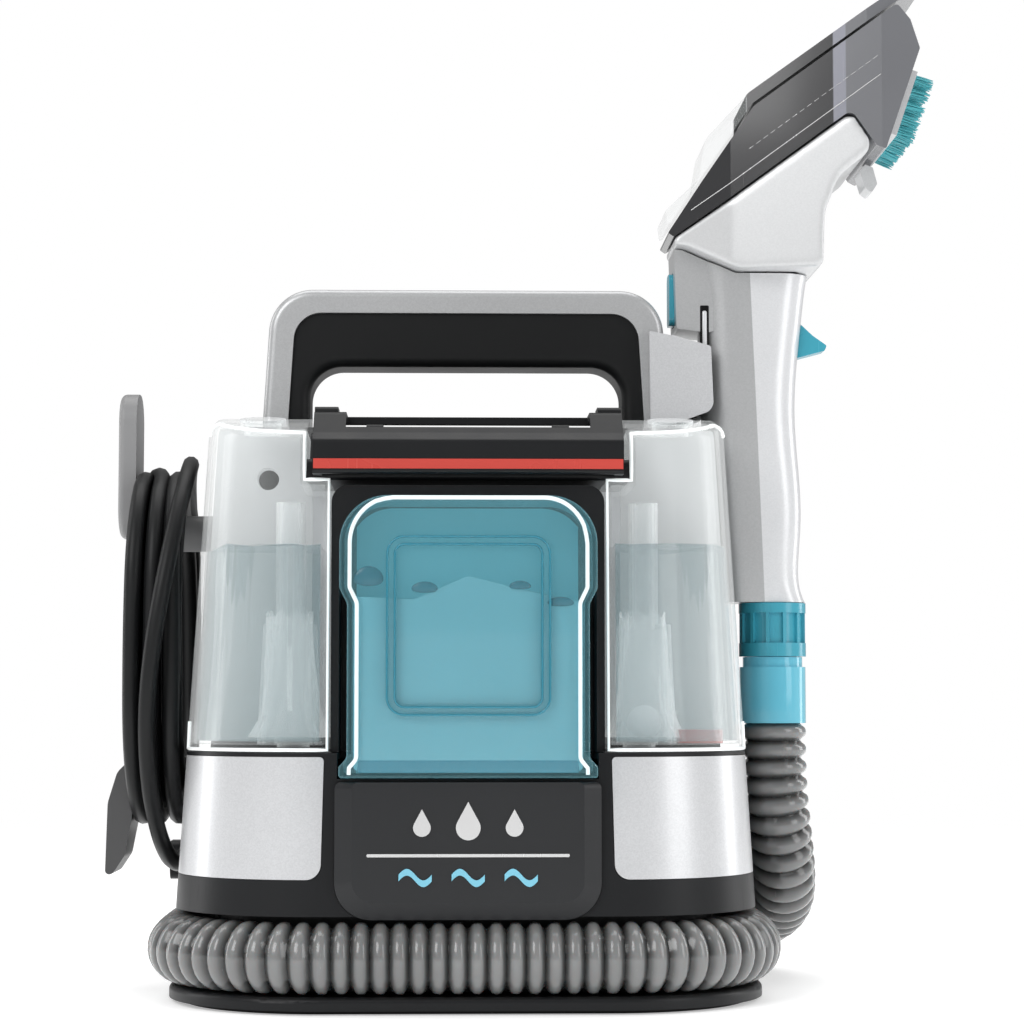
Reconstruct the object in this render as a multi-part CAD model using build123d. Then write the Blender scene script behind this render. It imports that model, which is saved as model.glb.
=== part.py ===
from build123d import *

import math
import os

# Portable carpet and upholstery cleaner. Millimetres, +Z up, -Y to the front, +X to the right of a person who
# faces the front. The origin is on the floor, under the middle of the rubber foot.

# ---- driving dimensions: the housing -----------------------------------------------------------------------
body_width = 278.0          # lower housing at its foot, across
body_depth = 213.0          # lower housing at its foot, front to back
body_mid_y = -1.5
body_corner = 70.0
body_draft = 3.5            # degrees, every outside wall leans in as it rises
housing_foot_z = 44.0
deck_z = 118.0              # top of the lower housing, where the tanks stand
wall = 3.0
panel_thickness = 3.0
fit_gap = 0.3               # clearance round every piece that is set into another

half_width = body_width / 2
tray_width = body_width + 6.0
tray_depth = body_depth + 11.0
tray_corner = 75.0
foot_height = 2.0
foot_margin = 7.0
foot_band = 14.0
lip_top_z = 8.0

# ---- driving dimensions: the suction hose and its groove ---------------------------------------------------
hose_diameter = 33.0
hose_half_x = 135.0         # centre line of the wound hose
hose_half_y = 102.5
hose_rest_z = 25.0
port_open_x = 22.0
port_radius = hose_diameter / 2 + fit_gap
cuff_face_gap = 0.05

# ---- driving dimensions: the tower, handle and cradle ------------------------------------------------------
tower_front_y = -16.0
tower_top_z = 278.0
tower_side_inset = 9.0
front_wall_thickness = 2.5
front_wall_ledge = 2.8
carry_y = 8.0               # middle of the handle, cradle and wand, front to back
spine_half = 63.4
spine_front_y = -95.0
spine_top_z = 242.0
handle_half = half_width - 41.5     # outer half width at the top of the carry handle
handle_top_z = 347.5
handle_depth = 36.6
handle_shell = 12.0
grip_shell = 26.0
handle_radius = 22.0
cradle_x = handle_half + 5.0        # outer face of the handle's right leg at the cradle
cradle_reach_x = cradle_x + 20.5
cradle_half_y = 25.0

# ---- driving dimensions: the tanks -------------------------------------------------------------------------
tank_inner_x = 64.6
tank_back_y = -19.2
tank_floor_z = 119.4
tank_front_top_z = 266.0
tank_back_top_z = 281.5
tank_wall = 2.2
latch_half = 72.0
latch_floor_z = 246.6
latch_axis_y = -71.0
latch_axis_z = 268.5
rod_radius = 2.6
running_gap = 0.05
solution_half = 58.8
solution_top_z = 235.5
solution_floor_z = 107.0
solution_front_y = -119.0
solution_back_y = -66.0
solution_waist = 3.6

# ---- driving dimensions: the power cord --------------------------------------------------------------------
cord_diameter = 8.3
coil_x = (-half_width - 25.0, -half_width - 0.1)    # across the turns, outermost to innermost
coil_mid_y = 10.0
coil_top_z = 260.0
coil_bottom_z = 80.0
coil_layers = 3
coil_half_depth = 61.0
hook_plate = 9.0

# ---- driving dimensions: the wand and the tool head --------------------------------------------------------
wand_half_depth = 19.0
cuff_x = 154.5              # axis of the cuff in the wand's own drawing
wand_reach = 15.5           # axis of the cuff beyond the housing's side
cuff_radius = 16.5
collar_top_z = 191.0
cuff_top_z = 164.0
cuff_bottom_z = 131.0
trigger_axis = (162.5, 333.0)
trigger_half = 5.6
release_half = 7.0
spigot_x = 140.0
spigot_radius = 13.0
head_mouth_half = 47.0
head_neck_half = 21.0
shell_wall = 2.4

parts = {}


def block(x0, x1, y0, y1, z0, z1):
    """A box between its limits."""
    size = Box(x1 - x0, y1 - y0, z1 - z0)
    return Pos((x0 + x1) / 2, (y0 + y1) / 2, (z0 + z1) / 2) * size


def rod(radius, start, end):
    """A round bar from start to end."""
    line = Vector(*end) - Vector(*start)
    plane = Plane(origin=start, z_dir=line)
    return extrude(plane * Circle(radius), amount=line.length)


def cone(start_radius, end_radius, start, end):
    """A round bar whose radius changes along it."""
    line = Vector(*end) - Vector(*start)
    first = Plane(origin=start, z_dir=line) * Circle(start_radius)
    last = Plane(origin=end, z_dir=line) * Circle(end_radius)
    return loft([first, last])


def level_slab(width, depth, radius, mid_y, z0, z1):
    """A slab with rounded corners, seen from above."""
    face = Pos(0, mid_y, z0) * RectangleRounded(width, depth, radius)
    return extrude(face, amount=z1 - z0)


def front_plate(points, radii, y0, y1):
    """A plate whose outline is drawn in X and Z, between y0 and y1. radii rounds the outline's corners."""
    plane = Plane(origin=(0, y1, 0), x_dir=(1, 0, 0), z_dir=(0, -1, 0))
    outline = FilletPolyline(*points, radius=radii, close=True)
    return extrude(plane * make_face(outline), amount=y1 - y0)


def side_plate(points, radii, x0, x1):
    """A plate whose outline is drawn in Y and Z, between x0 and x1."""
    plane = Plane(origin=(x0, 0, 0), x_dir=(0, 1, 0), z_dir=(1, 0, 0))
    outline = FilletPolyline(*points, radius=radii, close=True)
    return extrude(plane * make_face(outline), amount=x1 - x0)


def draft_at(z):
    """How far the outside walls have leaned in at height z."""
    return (z - housing_foot_z) * math.tan(math.radians(body_draft))


def envelope(z0, z1, inset=0.0):
    """The machine's drafted outer form between two heights, inset all round."""
    lean = inset + draft_at(z0)
    face = RectangleRounded(body_width - 2 * lean, body_depth - 2 * lean, body_corner - lean)
    return extrude(Pos(0, body_mid_y, z0) * face, amount=z1 - z0, taper=body_draft)


def mirrored(shape):
    """The same piece on the other side of the machine."""
    return mirror(shape, about=Plane.YZ)


def one_solid(shape):
    """The largest solid of a shape."""
    return max(shape.solids(), key=lambda piece: piece.volume)


# ---- base: foot, tray and hose port ------------------------------------------------------------------------
foot_width = tray_width - 2 * foot_margin
foot_depth = tray_depth - 2 * foot_margin
foot_corner = tray_corner - foot_margin
groove_half_x = hose_half_x - hose_diameter / 2 - 0.6
groove_half_y = hose_half_y - hose_diameter / 2 - 0.6
groove_corner = 50.0
port_y = hose_half_y
port_stub_radius = 13.0
screw_places = [(-90.0, -58.0), (90.0, -58.0), (-90.0, 58.0), (90.0, 58.0)]
screw_radius = 2.0
screw_head_radius = 4.0
screw_head_z = 30.0


def make_foot():
    outer = level_slab(foot_width, foot_depth, foot_corner, 0, 0, foot_height)
    inner_corner = foot_corner - foot_band
    inner = level_slab(foot_width - 2 * foot_band, foot_depth - 2 * foot_band, inner_corner, 0, -1, 3)
    return outer - inner


def make_tray():
    lip = level_slab(tray_width, tray_depth, tray_corner, 0, foot_height, lip_top_z)
    rim = lip.edges().group_by(Axis.Z)[-1]
    lip = fillet(rim, 2.5)
    plinth = level_slab(
        2 * groove_half_x, 2 * groove_half_y, groove_corner, 0, lip_top_z - 1, housing_foot_z
    )
    hollow = level_slab(
        2 * (groove_half_x - wall), 2 * (groove_half_y - wall), groove_corner - wall, 0,
        foot_height + wall, housing_foot_z + 1
    )
    stub = rod(port_stub_radius + fit_gap, (0, groove_half_y - 8, hose_rest_z), (0, port_y, hose_rest_z))
    tray = lip + plinth - hollow - stub
    for x, y in screw_places:
        tray = tray + rod(6.5, (x, y, foot_height + 1), (x, y, housing_foot_z))
        tray = tray - rod(screw_radius + fit_gap, (x, y, 0), (x, y, housing_foot_z + 1))
        tray = tray - rod(screw_head_radius + fit_gap, (x, y, 0), (x, y, screw_head_z))
    return tray


def make_hose_port():
    """The elbow that takes the suction hose: a cup along X and a stub into the plinth."""
    cup = rod(port_radius, (port_open_x, port_y, hose_rest_z), (-18, port_y, hose_rest_z))
    cup = fillet(cup.edges().sort_by(Axis.X)[0], 8)
    stub = rod(port_stub_radius, (0, port_y, hose_rest_z), (0, groove_half_y - 14, hose_rest_z))
    channel = rod(10.5, (port_open_x - 4, port_y, hose_rest_z), (0, port_y, hose_rest_z))
    inner = rod(10.5, (0, port_y + 6, hose_rest_z), (0, groove_half_y - 20, hose_rest_z))
    return cup + stub - channel - inner


# ---- lower housing and what is set into it -----------------------------------------------------------------
panel_floor_z = 60.6
panel_top_z = 116.2
panel_front_x = 67.2
panel_back_y = -9.5
badge_half = 60.8
badge_floor_z = 42.7
badge_top_z = 105.0
badge_front_y = -114.5
badge_back_y = -104.2
badge_bevel_width = 8.0
badge_bevel_depth = 4.5
tank_pocket_floor_z = solution_floor_z - 0.8
vent_half = 62.0
vent_floor_z = 58.0
vent_top_z = 100.0
cord_outlet_y = 74.0
cord_x = -half_width - 6.0
cord_outlet_z = 59.0


def panel_region(grow):
    """The block that a left side panel is cut from, seen from the front."""
    x_in = -panel_front_x + grow
    low = panel_floor_z - grow
    high = panel_top_z + grow
    outline = [(-180, low), (x_in, low), (x_in + 1.2, high), (-180, high)]
    return front_plate(outline, [0, 7, 2, 0], -160, panel_back_y + grow)


def make_side_panel_left():
    skin = envelope(panel_floor_z - 5, panel_top_z + 5) - envelope(
        panel_floor_z - 6, panel_top_z + 6, panel_thickness
    )
    return one_solid(skin & panel_region(0))


def badge_outline(grow):
    low = badge_floor_z - grow
    high = badge_top_z + grow
    half = badge_half + grow
    return [(-half, low), (half, low), (half, high), (-half, high)]


def make_badge_panel():
    """A plate whose sides and foot are bevelled broadly towards its face."""
    bevel_y = badge_front_y + badge_bevel_depth
    slab = front_plate(badge_outline(0), [17, 17, 3, 3], bevel_y, badge_back_y)
    low = badge_floor_z + badge_bevel_width
    half = badge_half - badge_bevel_width
    face_points = [(-half, low), (half, low), (half, badge_top_z), (-half, badge_top_z)]
    outlines = []
    for y, points, corner in ((bevel_y, badge_outline(0), 17), (badge_front_y, face_points, 10)):
        plane = Plane(origin=(0, y, 0), x_dir=(1, 0, 0), z_dir=(0, -1, 0))
        outlines.append(plane * make_face(FilletPolyline(*points, radius=[corner, corner, 3, 3], close=True)))
    return slab + loft(outlines)


def make_lower_housing():
    shell = envelope(housing_foot_z, deck_z) - envelope(
        housing_foot_z + wall, deck_z - wall, wall + panel_thickness
    )
    pocket_skin = envelope(housing_foot_z - 2, deck_z + 2, -4) - envelope(
        housing_foot_z - 3, deck_z + 3, panel_thickness + 0.1
    )
    left_pocket = pocket_skin & panel_region(fit_gap)
    shell = shell - left_pocket - mirrored(left_pocket)
    badge_cut = front_plate(
        badge_outline(fit_gap), [17, 17, 3, 3], -140, badge_back_y + 0.1
    )
    tank_cut = block(
        -solution_half - 1.2, solution_half + 1.2, -140, solution_back_y + 6, tank_pocket_floor_z, deck_z + 1
    )
    air_way = block(-54, 54, -8, 82, deck_z - 10, deck_z + 5)
    inlet = block(-70, 70, -50, 60, housing_foot_z - 1, housing_foot_z + 10)
    vent = block(-vent_half, vent_half, 80, 130, vent_floor_z, vent_top_z)
    shell = shell - badge_cut - tank_cut - air_way - inlet - vent
    tank_shelf = block(
        -solution_half - 1.2, solution_half + 1.2, -100, solution_back_y + 9, tank_pocket_floor_z - 3,
        tank_pocket_floor_z
    )
    shell = shell + tank_shelf
    outlet = block(cord_x - 9, cord_x + 24, cord_outlet_y, cord_outlet_y + 22, cord_outlet_z - 10,
                   cord_outlet_z + 10)
    outlet = fillet(outlet.edges().filter_by(Axis.X), 6)
    outlet = outlet - envelope(housing_foot_z, deck_z, 2)
    bore = rod(cord_diameter / 2 + fit_gap, (cord_x, cord_outlet_y - 1, cord_outlet_z),
               (cord_x, cord_outlet_y + 12, cord_outlet_z))
    shell = shell + outlet - bore
    for x, y in screw_places:
        shell = shell - rod(screw_radius + 0.1, (x, y, 40), (x, y, 60))
    hook_slot = block(-half_width - 11, -half_width + 21, coil_mid_y - arm_half_y - 0.2, coil_mid_y + arm_half_y + 0.2,
                      arm_bottom_z - 0.2, arm_bottom_z + hook_arm + 0.2)
    return shell - hook_slot


def make_exhaust_grille():
    """The slotted cover at the back of the lower housing."""
    depth = 3.0
    back = body_mid_y + body_depth / 2 - draft_at(vent_floor_z) - 1.5
    plate = block(-vent_half + 0.4, vent_half - 0.4, back - depth - 3, back - 3, vent_floor_z + 0.4,
                  vent_top_z - 0.4)
    slot_pitch = 7.0
    slots = int((vent_top_z - vent_floor_z - 10) / slot_pitch)
    for row in range(slots):
        z = vent_floor_z + 6 + row * slot_pitch
        for side in (-1, 0, 1):
            middle = side * 40.0
            plate = plate - block(middle - 17, middle + 17, back - 20, back + 5, z, z + 3.2)
    return plate


def make_housing_screws():
    screws = []
    for x, y in screw_places:
        shank = rod(screw_radius, (x, y, screw_head_z - 1), (x, y, housing_foot_z + wall + 6))
        head = rod(screw_head_radius, (x, y, screw_head_z - 3), (x, y, screw_head_z))
        screws.append(shank + head)
    return Compound(children=[one_solid(screw) for screw in screws])


# ---- badge: a bar and generic pictures, no letters ---------------------------------------------------------
mark_depth = 0.8
bar_z = 72.0


def make_badge_bar():
    outline = [(-46, bar_z - 0.7), (46, bar_z - 0.7), (46, bar_z + 0.7), (-46, bar_z + 0.7)]
    return front_plate(outline, 0.6, badge_front_y - mark_depth, badge_front_y)


def droplet(x, z, size):
    """A drop seen from the front, point up."""
    drop = Pos(x, z) * Circle(size)
    tip = Pos(x, z) * Polygon((-size * 0.88, size * 0.47), (size * 0.88, size * 0.47), (0, size * 2.1),
                              align=None)
    return drop + tip


def make_badge_drops():
    plane = Plane(origin=(0, badge_front_y, 0), x_dir=(1, 0, 0), z_dir=(0, -1, 0))
    drops = []
    for x, size in ((-21.0, 4.0), (0.0, 5.6), (21.0, 4.0)):
        solid = extrude(plane * droplet(x, bar_z + 12.5, size), amount=mark_depth)
        drops.append(one_solid(solid))
    return Compound(children=drops)


def make_badge_waves():
    waves = []
    span = 15.0
    for column in (-1, 0, 1):
        x = column * 24.0
        points = [(x - span / 2 + span * step / 8, bar_z - 10 + 2.6 * math.sin(step * math.pi / 4))
                  for step in range(9)]
        upper = [(px, pz + 1.5) for px, pz in points]
        lower = [(px, pz - 1.5) for px, pz in points]
        plane = Plane(origin=(0, badge_front_y, 0), x_dir=(1, 0, 0), z_dir=(0, -1, 0))
        edge = Spline(*upper)
        back = Spline(*reversed(lower))
        caps = [Line(upper[-1], lower[-1]), Line(lower[0], upper[0])]
        face = make_face([edge, caps[0], back, caps[1]])
        waves.append(one_solid(extrude(plane * face, amount=mark_depth)))
    return Compound(children=waves)


# ---- tower: front wall, shell, spine and the works inside --------------------------------------------------
tower_back_y = body_mid_y + body_depth / 2 - draft_at(deck_z) - tower_side_inset
button_x = -half_width + 41.5
button_z = 250.6
button_radius = 5.0
bezel_radius = 7.4
motor_y = 38.0
motor_radius = 38.0
fan_radius = 38.0
fan_floor_z = 122.0
fan_height = 26.0
motor_floor_z = fan_floor_z + fan_height + 1.0
motor_height = 84.0
handle_foot_z = 267.0


def tower_form(inset, z0, z1):
    box = block(-200, 200, tower_front_y + inset, 200, z0 - 1, z1 + 1)
    return envelope(z0, z1, tower_side_inset + inset) & box


def window_outline(inset):
    """The opening in the tower's front that the pale wall fills."""
    low = deck_z + 8 + inset
    high = tower_top_z - 14 - inset
    half_low = half_width - 27.0 - inset
    half_high = half_width - 31.5 - inset
    return [(-half_low, low), (half_low, low), (half_high, high), (-half_high, high)]


def make_tower_shell():
    outer = tower_form(0, deck_z + fit_gap, tower_top_z)
    top = outer.faces().sort_by(Axis.Z)[-1]
    outer = fillet(top.edges(), 7)
    hollow = tower_form(wall, deck_z - 1, tower_top_z - wall)
    front_thickness = front_wall_thickness + 0.2 + front_wall_ledge
    hollow = hollow & block(-200, 200, tower_front_y + front_thickness, 200, 0, 400)
    pocket = front_plate(window_outline(0), 10, tower_front_y - 1, tower_front_y + front_wall_thickness + 0.2)
    window = front_plate(window_outline(6), 6, tower_front_y - 1, tower_front_y + 20)
    shell = outer - hollow - pocket - window
    for side in (-1, 1):
        leg_x = side * (handle_half + 4.0 - grip_shell / 2)
        slot = block(leg_x - 15, leg_x + 15, carry_y - handle_depth / 2 - 0.2,
                     carry_y + handle_depth / 2 + 0.2, handle_foot_z - fit_gap, tower_top_z + 1)
        shell = shell - slot
    hook_seat = rod(hook_pivot_radius + 0.08, (-half_width - 1, coil_mid_y, hook_axis_z),
                    (-half_width + 39, coil_mid_y, hook_axis_z))
    bezel_way = rod(bezel_radius + fit_gap, (button_x, tower_front_y - 1, button_z),
                    (button_x, tower_front_y + 20, button_z))
    return one_solid(shell - hook_seat - bezel_way)


def make_tower_front_wall():
    wall_plate = front_plate(window_outline(0.3), 9.7, tower_front_y, tower_front_y + front_wall_thickness)
    opening = rod(bezel_radius - 1.4, (button_x, -40, button_z), (button_x, 20, button_z))
    return wall_plate - opening


def make_button_bezel():
    ring = rod(bezel_radius, (button_x, tower_front_y - 1.4, button_z),
               (button_x, tower_front_y, button_z))
    sleeve = rod(bezel_radius - 1.5, (button_x, tower_front_y - 1, button_z),
                 (button_x, tower_front_y + 6, button_z))
    bore = rod(button_radius + running_gap, (button_x, -40, button_z), (button_x, 20, button_z))
    return ring + sleeve - bore


def make_power_button():
    cap = rod(button_radius, (button_x, tower_front_y - 2.0, button_z),
              (button_x, tower_front_y + 10, button_z))
    rim = cap.edges().sort_by(Axis.Y)[0]
    cap = fillet(rim, 0.8)
    mark = block(button_x - 0.6, button_x + 0.6, tower_front_y - 3, tower_front_y - 1.6, button_z - 2.2,
                 button_z + 2.2)
    return cap - mark


def make_centre_spine():
    form = block(-spine_half, spine_half, spine_front_y, tower_front_y - fit_gap, deck_z + fit_gap,
                 spine_top_z)
    form = fillet(form.edges().filter_by(Axis.Y).group_by(Axis.Z)[-1], 8)
    half = solution_half + 0.9
    pocket = front_plate(
        [(-half, 60), (half, 60), (half, solution_top_z + 0.9), (-half, solution_top_z + 0.9)],
        [0, 0, 22, 22], spine_front_y - 5, solution_back_y + 0.8
    )
    core = block(-spine_half + 5, spine_half - 5, solution_back_y + 4, tower_front_y - 4, deck_z - 2,
                 spine_top_z - 4)
    socket = rod(12.6, (0, solution_back_y - 2, solution_cap_z), (0, solution_back_y + 12, solution_cap_z))
    return form - pocket - core - socket


def make_fan_housing():
    centre = (0, motor_y)
    outer = Pos(*centre, fan_floor_z + fan_height / 2) * Cylinder(fan_radius + 7, fan_height)
    inner = Pos(*centre, fan_floor_z + fan_height / 2) * Cylinder(fan_radius + 4, fan_height - 5)
    eye = Pos(*centre, fan_floor_z) * Cylinder(22, 12)
    shaft_way = Pos(*centre, fan_floor_z + fan_height) * Cylinder(5.5, 12)
    return outer - inner - eye - shaft_way


def make_impeller():
    base = Pos(0, motor_y, fan_floor_z + 6) * Cylinder(fan_radius, 3)
    hub = Pos(0, motor_y, fan_floor_z + 12) * Cylinder(9, 13)
    wheel = base + hub
    for blade in range(9):
        vane = Pos(fan_radius / 2 + 3, 0, fan_floor_z + 12) * Box(fan_radius - 10, 1.8, 11)
        wheel = wheel + Pos(0, motor_y, 0) * Rot(0, 0, blade * 40) * vane
    shaft = rod(4.0, (0, motor_y, fan_floor_z + 5), (0, motor_y, motor_floor_z + 30))
    return wheel + shaft


def make_suction_motor():
    can = Pos(0, motor_y, motor_floor_z + motor_height / 2) * Cylinder(motor_radius, motor_height)
    can = fillet(can.edges().group_by(Axis.Z)[-1], 6)
    cap = Pos(0, motor_y, motor_floor_z + motor_height + 5) * Cylinder(24, 10)
    shaft_bore = Pos(0, motor_y, motor_floor_z + 15) * Cylinder(4.0 + running_gap, 32)
    return can + cap - shaft_bore


def make_water_pump():
    body = block(-92, -62, 6, 50, housing_foot_z + wall + 0.4, housing_foot_z + wall + 30)
    body = fillet(body.edges().filter_by(Axis.Z), 5)
    head = rod(11, (-77, 6, housing_foot_z + wall + 15), (-77, -10, housing_foot_z + wall + 15))
    spout = rod(3, (-77, -6, housing_foot_z + wall + 24), (-77, -6, housing_foot_z + wall + 40))
    return body + head + spout


def make_control_board():
    board = block(60, 110, 24, 26, 150, 232)
    chips = block(70, 84, 26, 32, 170, 190) + block(92, 100, 26, 40, 160, 172) + block(68, 100, 26, 30, 206, 220)
    return board + chips


# ---- carry handle ------------------------------------------------------------------------------------------
def handle_outline(inset, top, foot):
    half_top = handle_half - inset
    half_foot = half_top + (top - foot) * math.tan(math.radians(body_draft))
    return [(-half_foot, foot), (half_foot, foot), (half_top, top), (-half_top, top)]


def make_handle_shell():
    depth = handle_depth / 2
    outer = front_plate(handle_outline(0, handle_top_z, handle_foot_z), [0, 0, handle_radius, handle_radius],
                        -depth, depth)
    outer_rims = [edge for edge in outer.edges() if abs(abs(edge.center().Y) - depth) < 0.1
                  and edge.center().Z > handle_foot_z + 1]
    outer = fillet(outer_rims, 4)
    inner = front_plate(
        handle_outline(handle_shell, handle_top_z - handle_shell, handle_foot_z - 5),
        [0, 0, handle_radius - 8, handle_radius - 8], -depth - 1, depth + 1
    )
    return outer - inner


def make_handle_grip():
    depth = handle_depth / 2 - 2.0
    gap = 0.1
    inset = handle_shell + gap
    outer = front_plate(handle_outline(inset, handle_top_z - inset, handle_foot_z),
                        [0, 0, handle_radius - 8, handle_radius - 8], -depth, depth)
    opening_top = handle_top_z - grip_shell - 12.5
    opening_half = handle_half - handle_shell - 7.5
    opening = front_plate(
        [(-opening_half, 240), (opening_half, 240), (opening_half, opening_top), (-opening_half, opening_top)],
        [0, 0, 16, 16], -depth - 1, depth + 1
    )
    grip = outer - opening
    rims = [edge for edge in grip.edges() if abs(abs(edge.center().Y) - depth) < 0.1
            and edge.center().Z > handle_foot_z + 1 and abs(edge.center().X) < opening_half + 0.5
            and edge.center().Z < opening_top + 0.5]
    return fillet(rims, 5)


# ---- wand cradle on the right leg of the handle ------------------------------------------------------------
def cradle_cheek(y0, y1):
    outline = [(cradle_x, 324), (cradle_reach_x - 1.2, 318.5), (cradle_reach_x, 286.5), (cradle_x, 279.5)]
    return front_plate(outline, [0, 1.5, 6, 0], y0, y1)


def make_wand_cradle():
    """Two cheeks and a bridge that wraps the handle's leg, which they are moulded to."""
    cheeks = cradle_cheek(-cradle_half_y, -cradle_half_y + 3) + cradle_cheek(cradle_half_y - 3, cradle_half_y)
    bridge = front_plate([(cradle_x - 11.5, 326), (cradle_x + 2, 323.3), (cradle_x + 2, 279.6),
                          (cradle_x - 11, 278.8)], 0.5, -cradle_half_y, cradle_half_y)
    leg = block(handle_half - 37.5, handle_half + 5.5, -handle_depth / 2 - 0.1, handle_depth / 2 + 0.1, 200, 400)
    return cheeks + bridge - leg


def make_cradle_liner():
    """The dark lining of the fork, that the wand's heel rests on."""
    outline = [(cradle_x + 2.3, 322.5), (cradle_reach_x - 2, 317.2), (cradle_reach_x - 1.4, 289),
               (cradle_x + 2.3, 281.5)]
    lining = front_plate(outline, 0.5, -cradle_half_y + 3.1, cradle_half_y - 3.1)
    channel = block(cradle_x + 4.6, cradle_x + 37.5, -wand_half_depth - 1.2, wand_half_depth + 1.2, 270, 330)
    return lining - channel


# ---- cord storage ------------------------------------------------------------------------------------------
layer_depth = coil_layers * cord_diameter
arm_top_z = coil_top_z - layer_depth - 0.3
arm_bottom_z = coil_bottom_z + layer_depth + 0.3
hook_axis_z = arm_top_z - 9.0
hook_half_y = 17.0
arm_half_y = 11.0
hook_pivot_radius = 8.3
hook_saddle_radius = 9.0
hook_arm = 9.2
hook_inner_x = coil_x[0] - 0.3


def make_cord_hook_upper():
    """A stub that turns in the tower wall, a saddle for the cord and an upright paddle."""
    wall_x = -(half_width - draft_at(hook_axis_z) - tower_side_inset)
    pivot = rod(hook_pivot_radius, (wall_x - 2, coil_mid_y, hook_axis_z), (wall_x + 6, coil_mid_y, hook_axis_z))
    flange = rod(11, (wall_x + 4.2, coil_mid_y, hook_axis_z), (wall_x + 6.4, coil_mid_y, hook_axis_z))
    saddle = rod(hook_saddle_radius, (hook_inner_x - 1, coil_mid_y, hook_axis_z),
                 (wall_x - 1.2, coil_mid_y, hook_axis_z))
    paddle = side_plate(
        [(coil_mid_y - hook_half_y, 223), (coil_mid_y + hook_half_y, 223),
         (coil_mid_y + hook_half_y, 296), (coil_mid_y - hook_half_y, 296)],
        [15, 15, 15, 15], hook_inner_x - hook_plate, hook_inner_x
    )
    paddle = fillet(paddle.edges().group_by(Axis.X)[0], 3)
    return pivot + flange + saddle + paddle


def make_cord_hook_lower():
    """The fixed lower hook: an arm out of the housing and a tongue that leans out and down."""
    y0 = coil_mid_y - arm_half_y
    y1 = coil_mid_y + arm_half_y
    top = arm_bottom_z + hook_arm
    outer_x = coil_x[0]
    wall_x = -(half_width - draft_at(top) - wall - panel_thickness) + 0.1
    arm = side_plate([(y0, arm_bottom_z), (y1, arm_bottom_z), (y1, top), (y0, top)], [8, 8, 1, 1],
                     outer_x - 2.0, wall_x + 1.6)
    flange = block(wall_x, wall_x + 2.6, y0 - 3, y1 + 3, arm_bottom_z - 4, top)
    tongue = front_plate(
        [(outer_x - 0.6, top), (outer_x - 0.6, 84), (outer_x - 4, 66), (outer_x - 9.5, 57.5),
         (outer_x - 13.5, 56), (outer_x - 12.5, 92), (outer_x - 8, 107)],
        [0, 4, 6, 3, 2, 14, 8], coil_mid_y - hook_half_y, coil_mid_y + hook_half_y
    )
    return arm + tongue + flange


def coil_form():
    """The wound cord as one ring: a long loop seen from the side."""
    height = coil_top_z - coil_bottom_z
    mid_z = (coil_top_z + coil_bottom_z) / 2
    plane = Plane(origin=(coil_x[0], coil_mid_y, mid_z), x_dir=(0, 1, 0), z_dir=(1, 0, 0))
    outer = RectangleRounded(2 * coil_half_depth, height, coil_half_depth - 0.2)
    inner_half = coil_half_depth - layer_depth
    inner = RectangleRounded(2 * inner_half, height - 2 * layer_depth, inner_half - 0.2)
    return extrude(plane * (outer - inner), amount=coil_x[1] - coil_x[0])


def route_radii(points, label):
    """The corner radii of a cord's route, each as large as its two runs allow. Prints them."""
    radii = []
    for before, corner, after in zip(points, points[1:], points[2:]):
        first = Vector(*corner) - Vector(*before)
        second = Vector(*after) - Vector(*corner)
        half_turn = math.radians(first.get_angle(second)) / 2
        radii.append(0.45 * min(first.length, second.length) / math.tan(half_turn))
    print(label, "radii", [round(radius) for radius in radii])
    return radii


def cord_tube(points, diameter, label):
    """A round cord along a route of straight runs and tangent arcs."""
    radii = route_radii(points, label)
    path = FilletPolyline(*points, radius=radii)
    first = Vector(*points[1]) - Vector(*points[0])
    section = Plane(origin=points[0], z_dir=first) * Circle(diameter / 2)
    tube = sweep(section, path=path)
    expected = math.pi * diameter ** 2 / 4 * path.length
    print(label, "length", round(path.length), "volume ratio", round(tube.volume / expected, 4))
    return tube


strain_relief_length = 26.0
lead_route = [
    (cord_x, cord_outlet_y - strain_relief_length, cord_outlet_z),
    (cord_x - 0.6, 26.0, 60.0),
    (cord_x - 1.5, 2.0, 65.0),
    (-147.0, -22.0, 78.0),
    (-148.0, -42.0, 101.0),
    (-148.5, -54.0, 133.0),
    (-146.5, -58.5, 168.0),
    (-142.5, -56.0, 202.0),
    (-140.5, -41.0, 231.0),
    (-139.7, -17.0, 252.5),
    (-139.5, 8.0, 262.0),
    (-146.0, 30.0, 251.0),
]

hose_route = [
    (cuff_x, carry_y, cuff_bottom_z - cuff_face_gap),
    (cuff_x, carry_y, 104.0),
    (157.5, 12.0, 78.0),
    (162.0, 27.0, 54.0),
    (164.5, 55.0, 38.0),
    (157.5, 88.0, 28.0),
    (133.0, 120.0, 19.5),
    (96.0, 136.5, 16.8),
    (48.0, 138.5, 16.6),
    (0.0, 138.0, 16.8),
    (-44.0, 135.5, 19.8),
    (-80.0, 122.5, 24.6),
    (-110.0, 97.0, 25.4),
    (-130.0, 64.0, 25.0),
    (-136.0, 30.0, 25.0),
    (-136.2, -24.0, 25.0),
    (-135.0, -62.7, 25.0),
    (-95.2, -102.5, 25.0),
    (-36.0, -103.6, 25.0),
    (36.0, -103.6, 25.0),
    (95.2, -102.5, 25.0),
    (135.0, -62.7, 25.0),
    (136.2, 0.0, 25.0),
    (135.0, 62.7, 25.0),
    (95.2, 102.5, 25.0),
    (58.0, 103.0, 25.0),
    (port_open_x, port_y, hose_rest_z),
]


def make_strain_relief():
    start = (cord_x, cord_outlet_y, cord_outlet_z)
    end = (cord_x, cord_outlet_y - strain_relief_length, cord_outlet_z)
    sleeve = cone(7.6, 5.2, start, end)
    bead = rod(8.6, start, (cord_x, cord_outlet_y - 3, cord_outlet_z))
    return sleeve + bead


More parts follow.
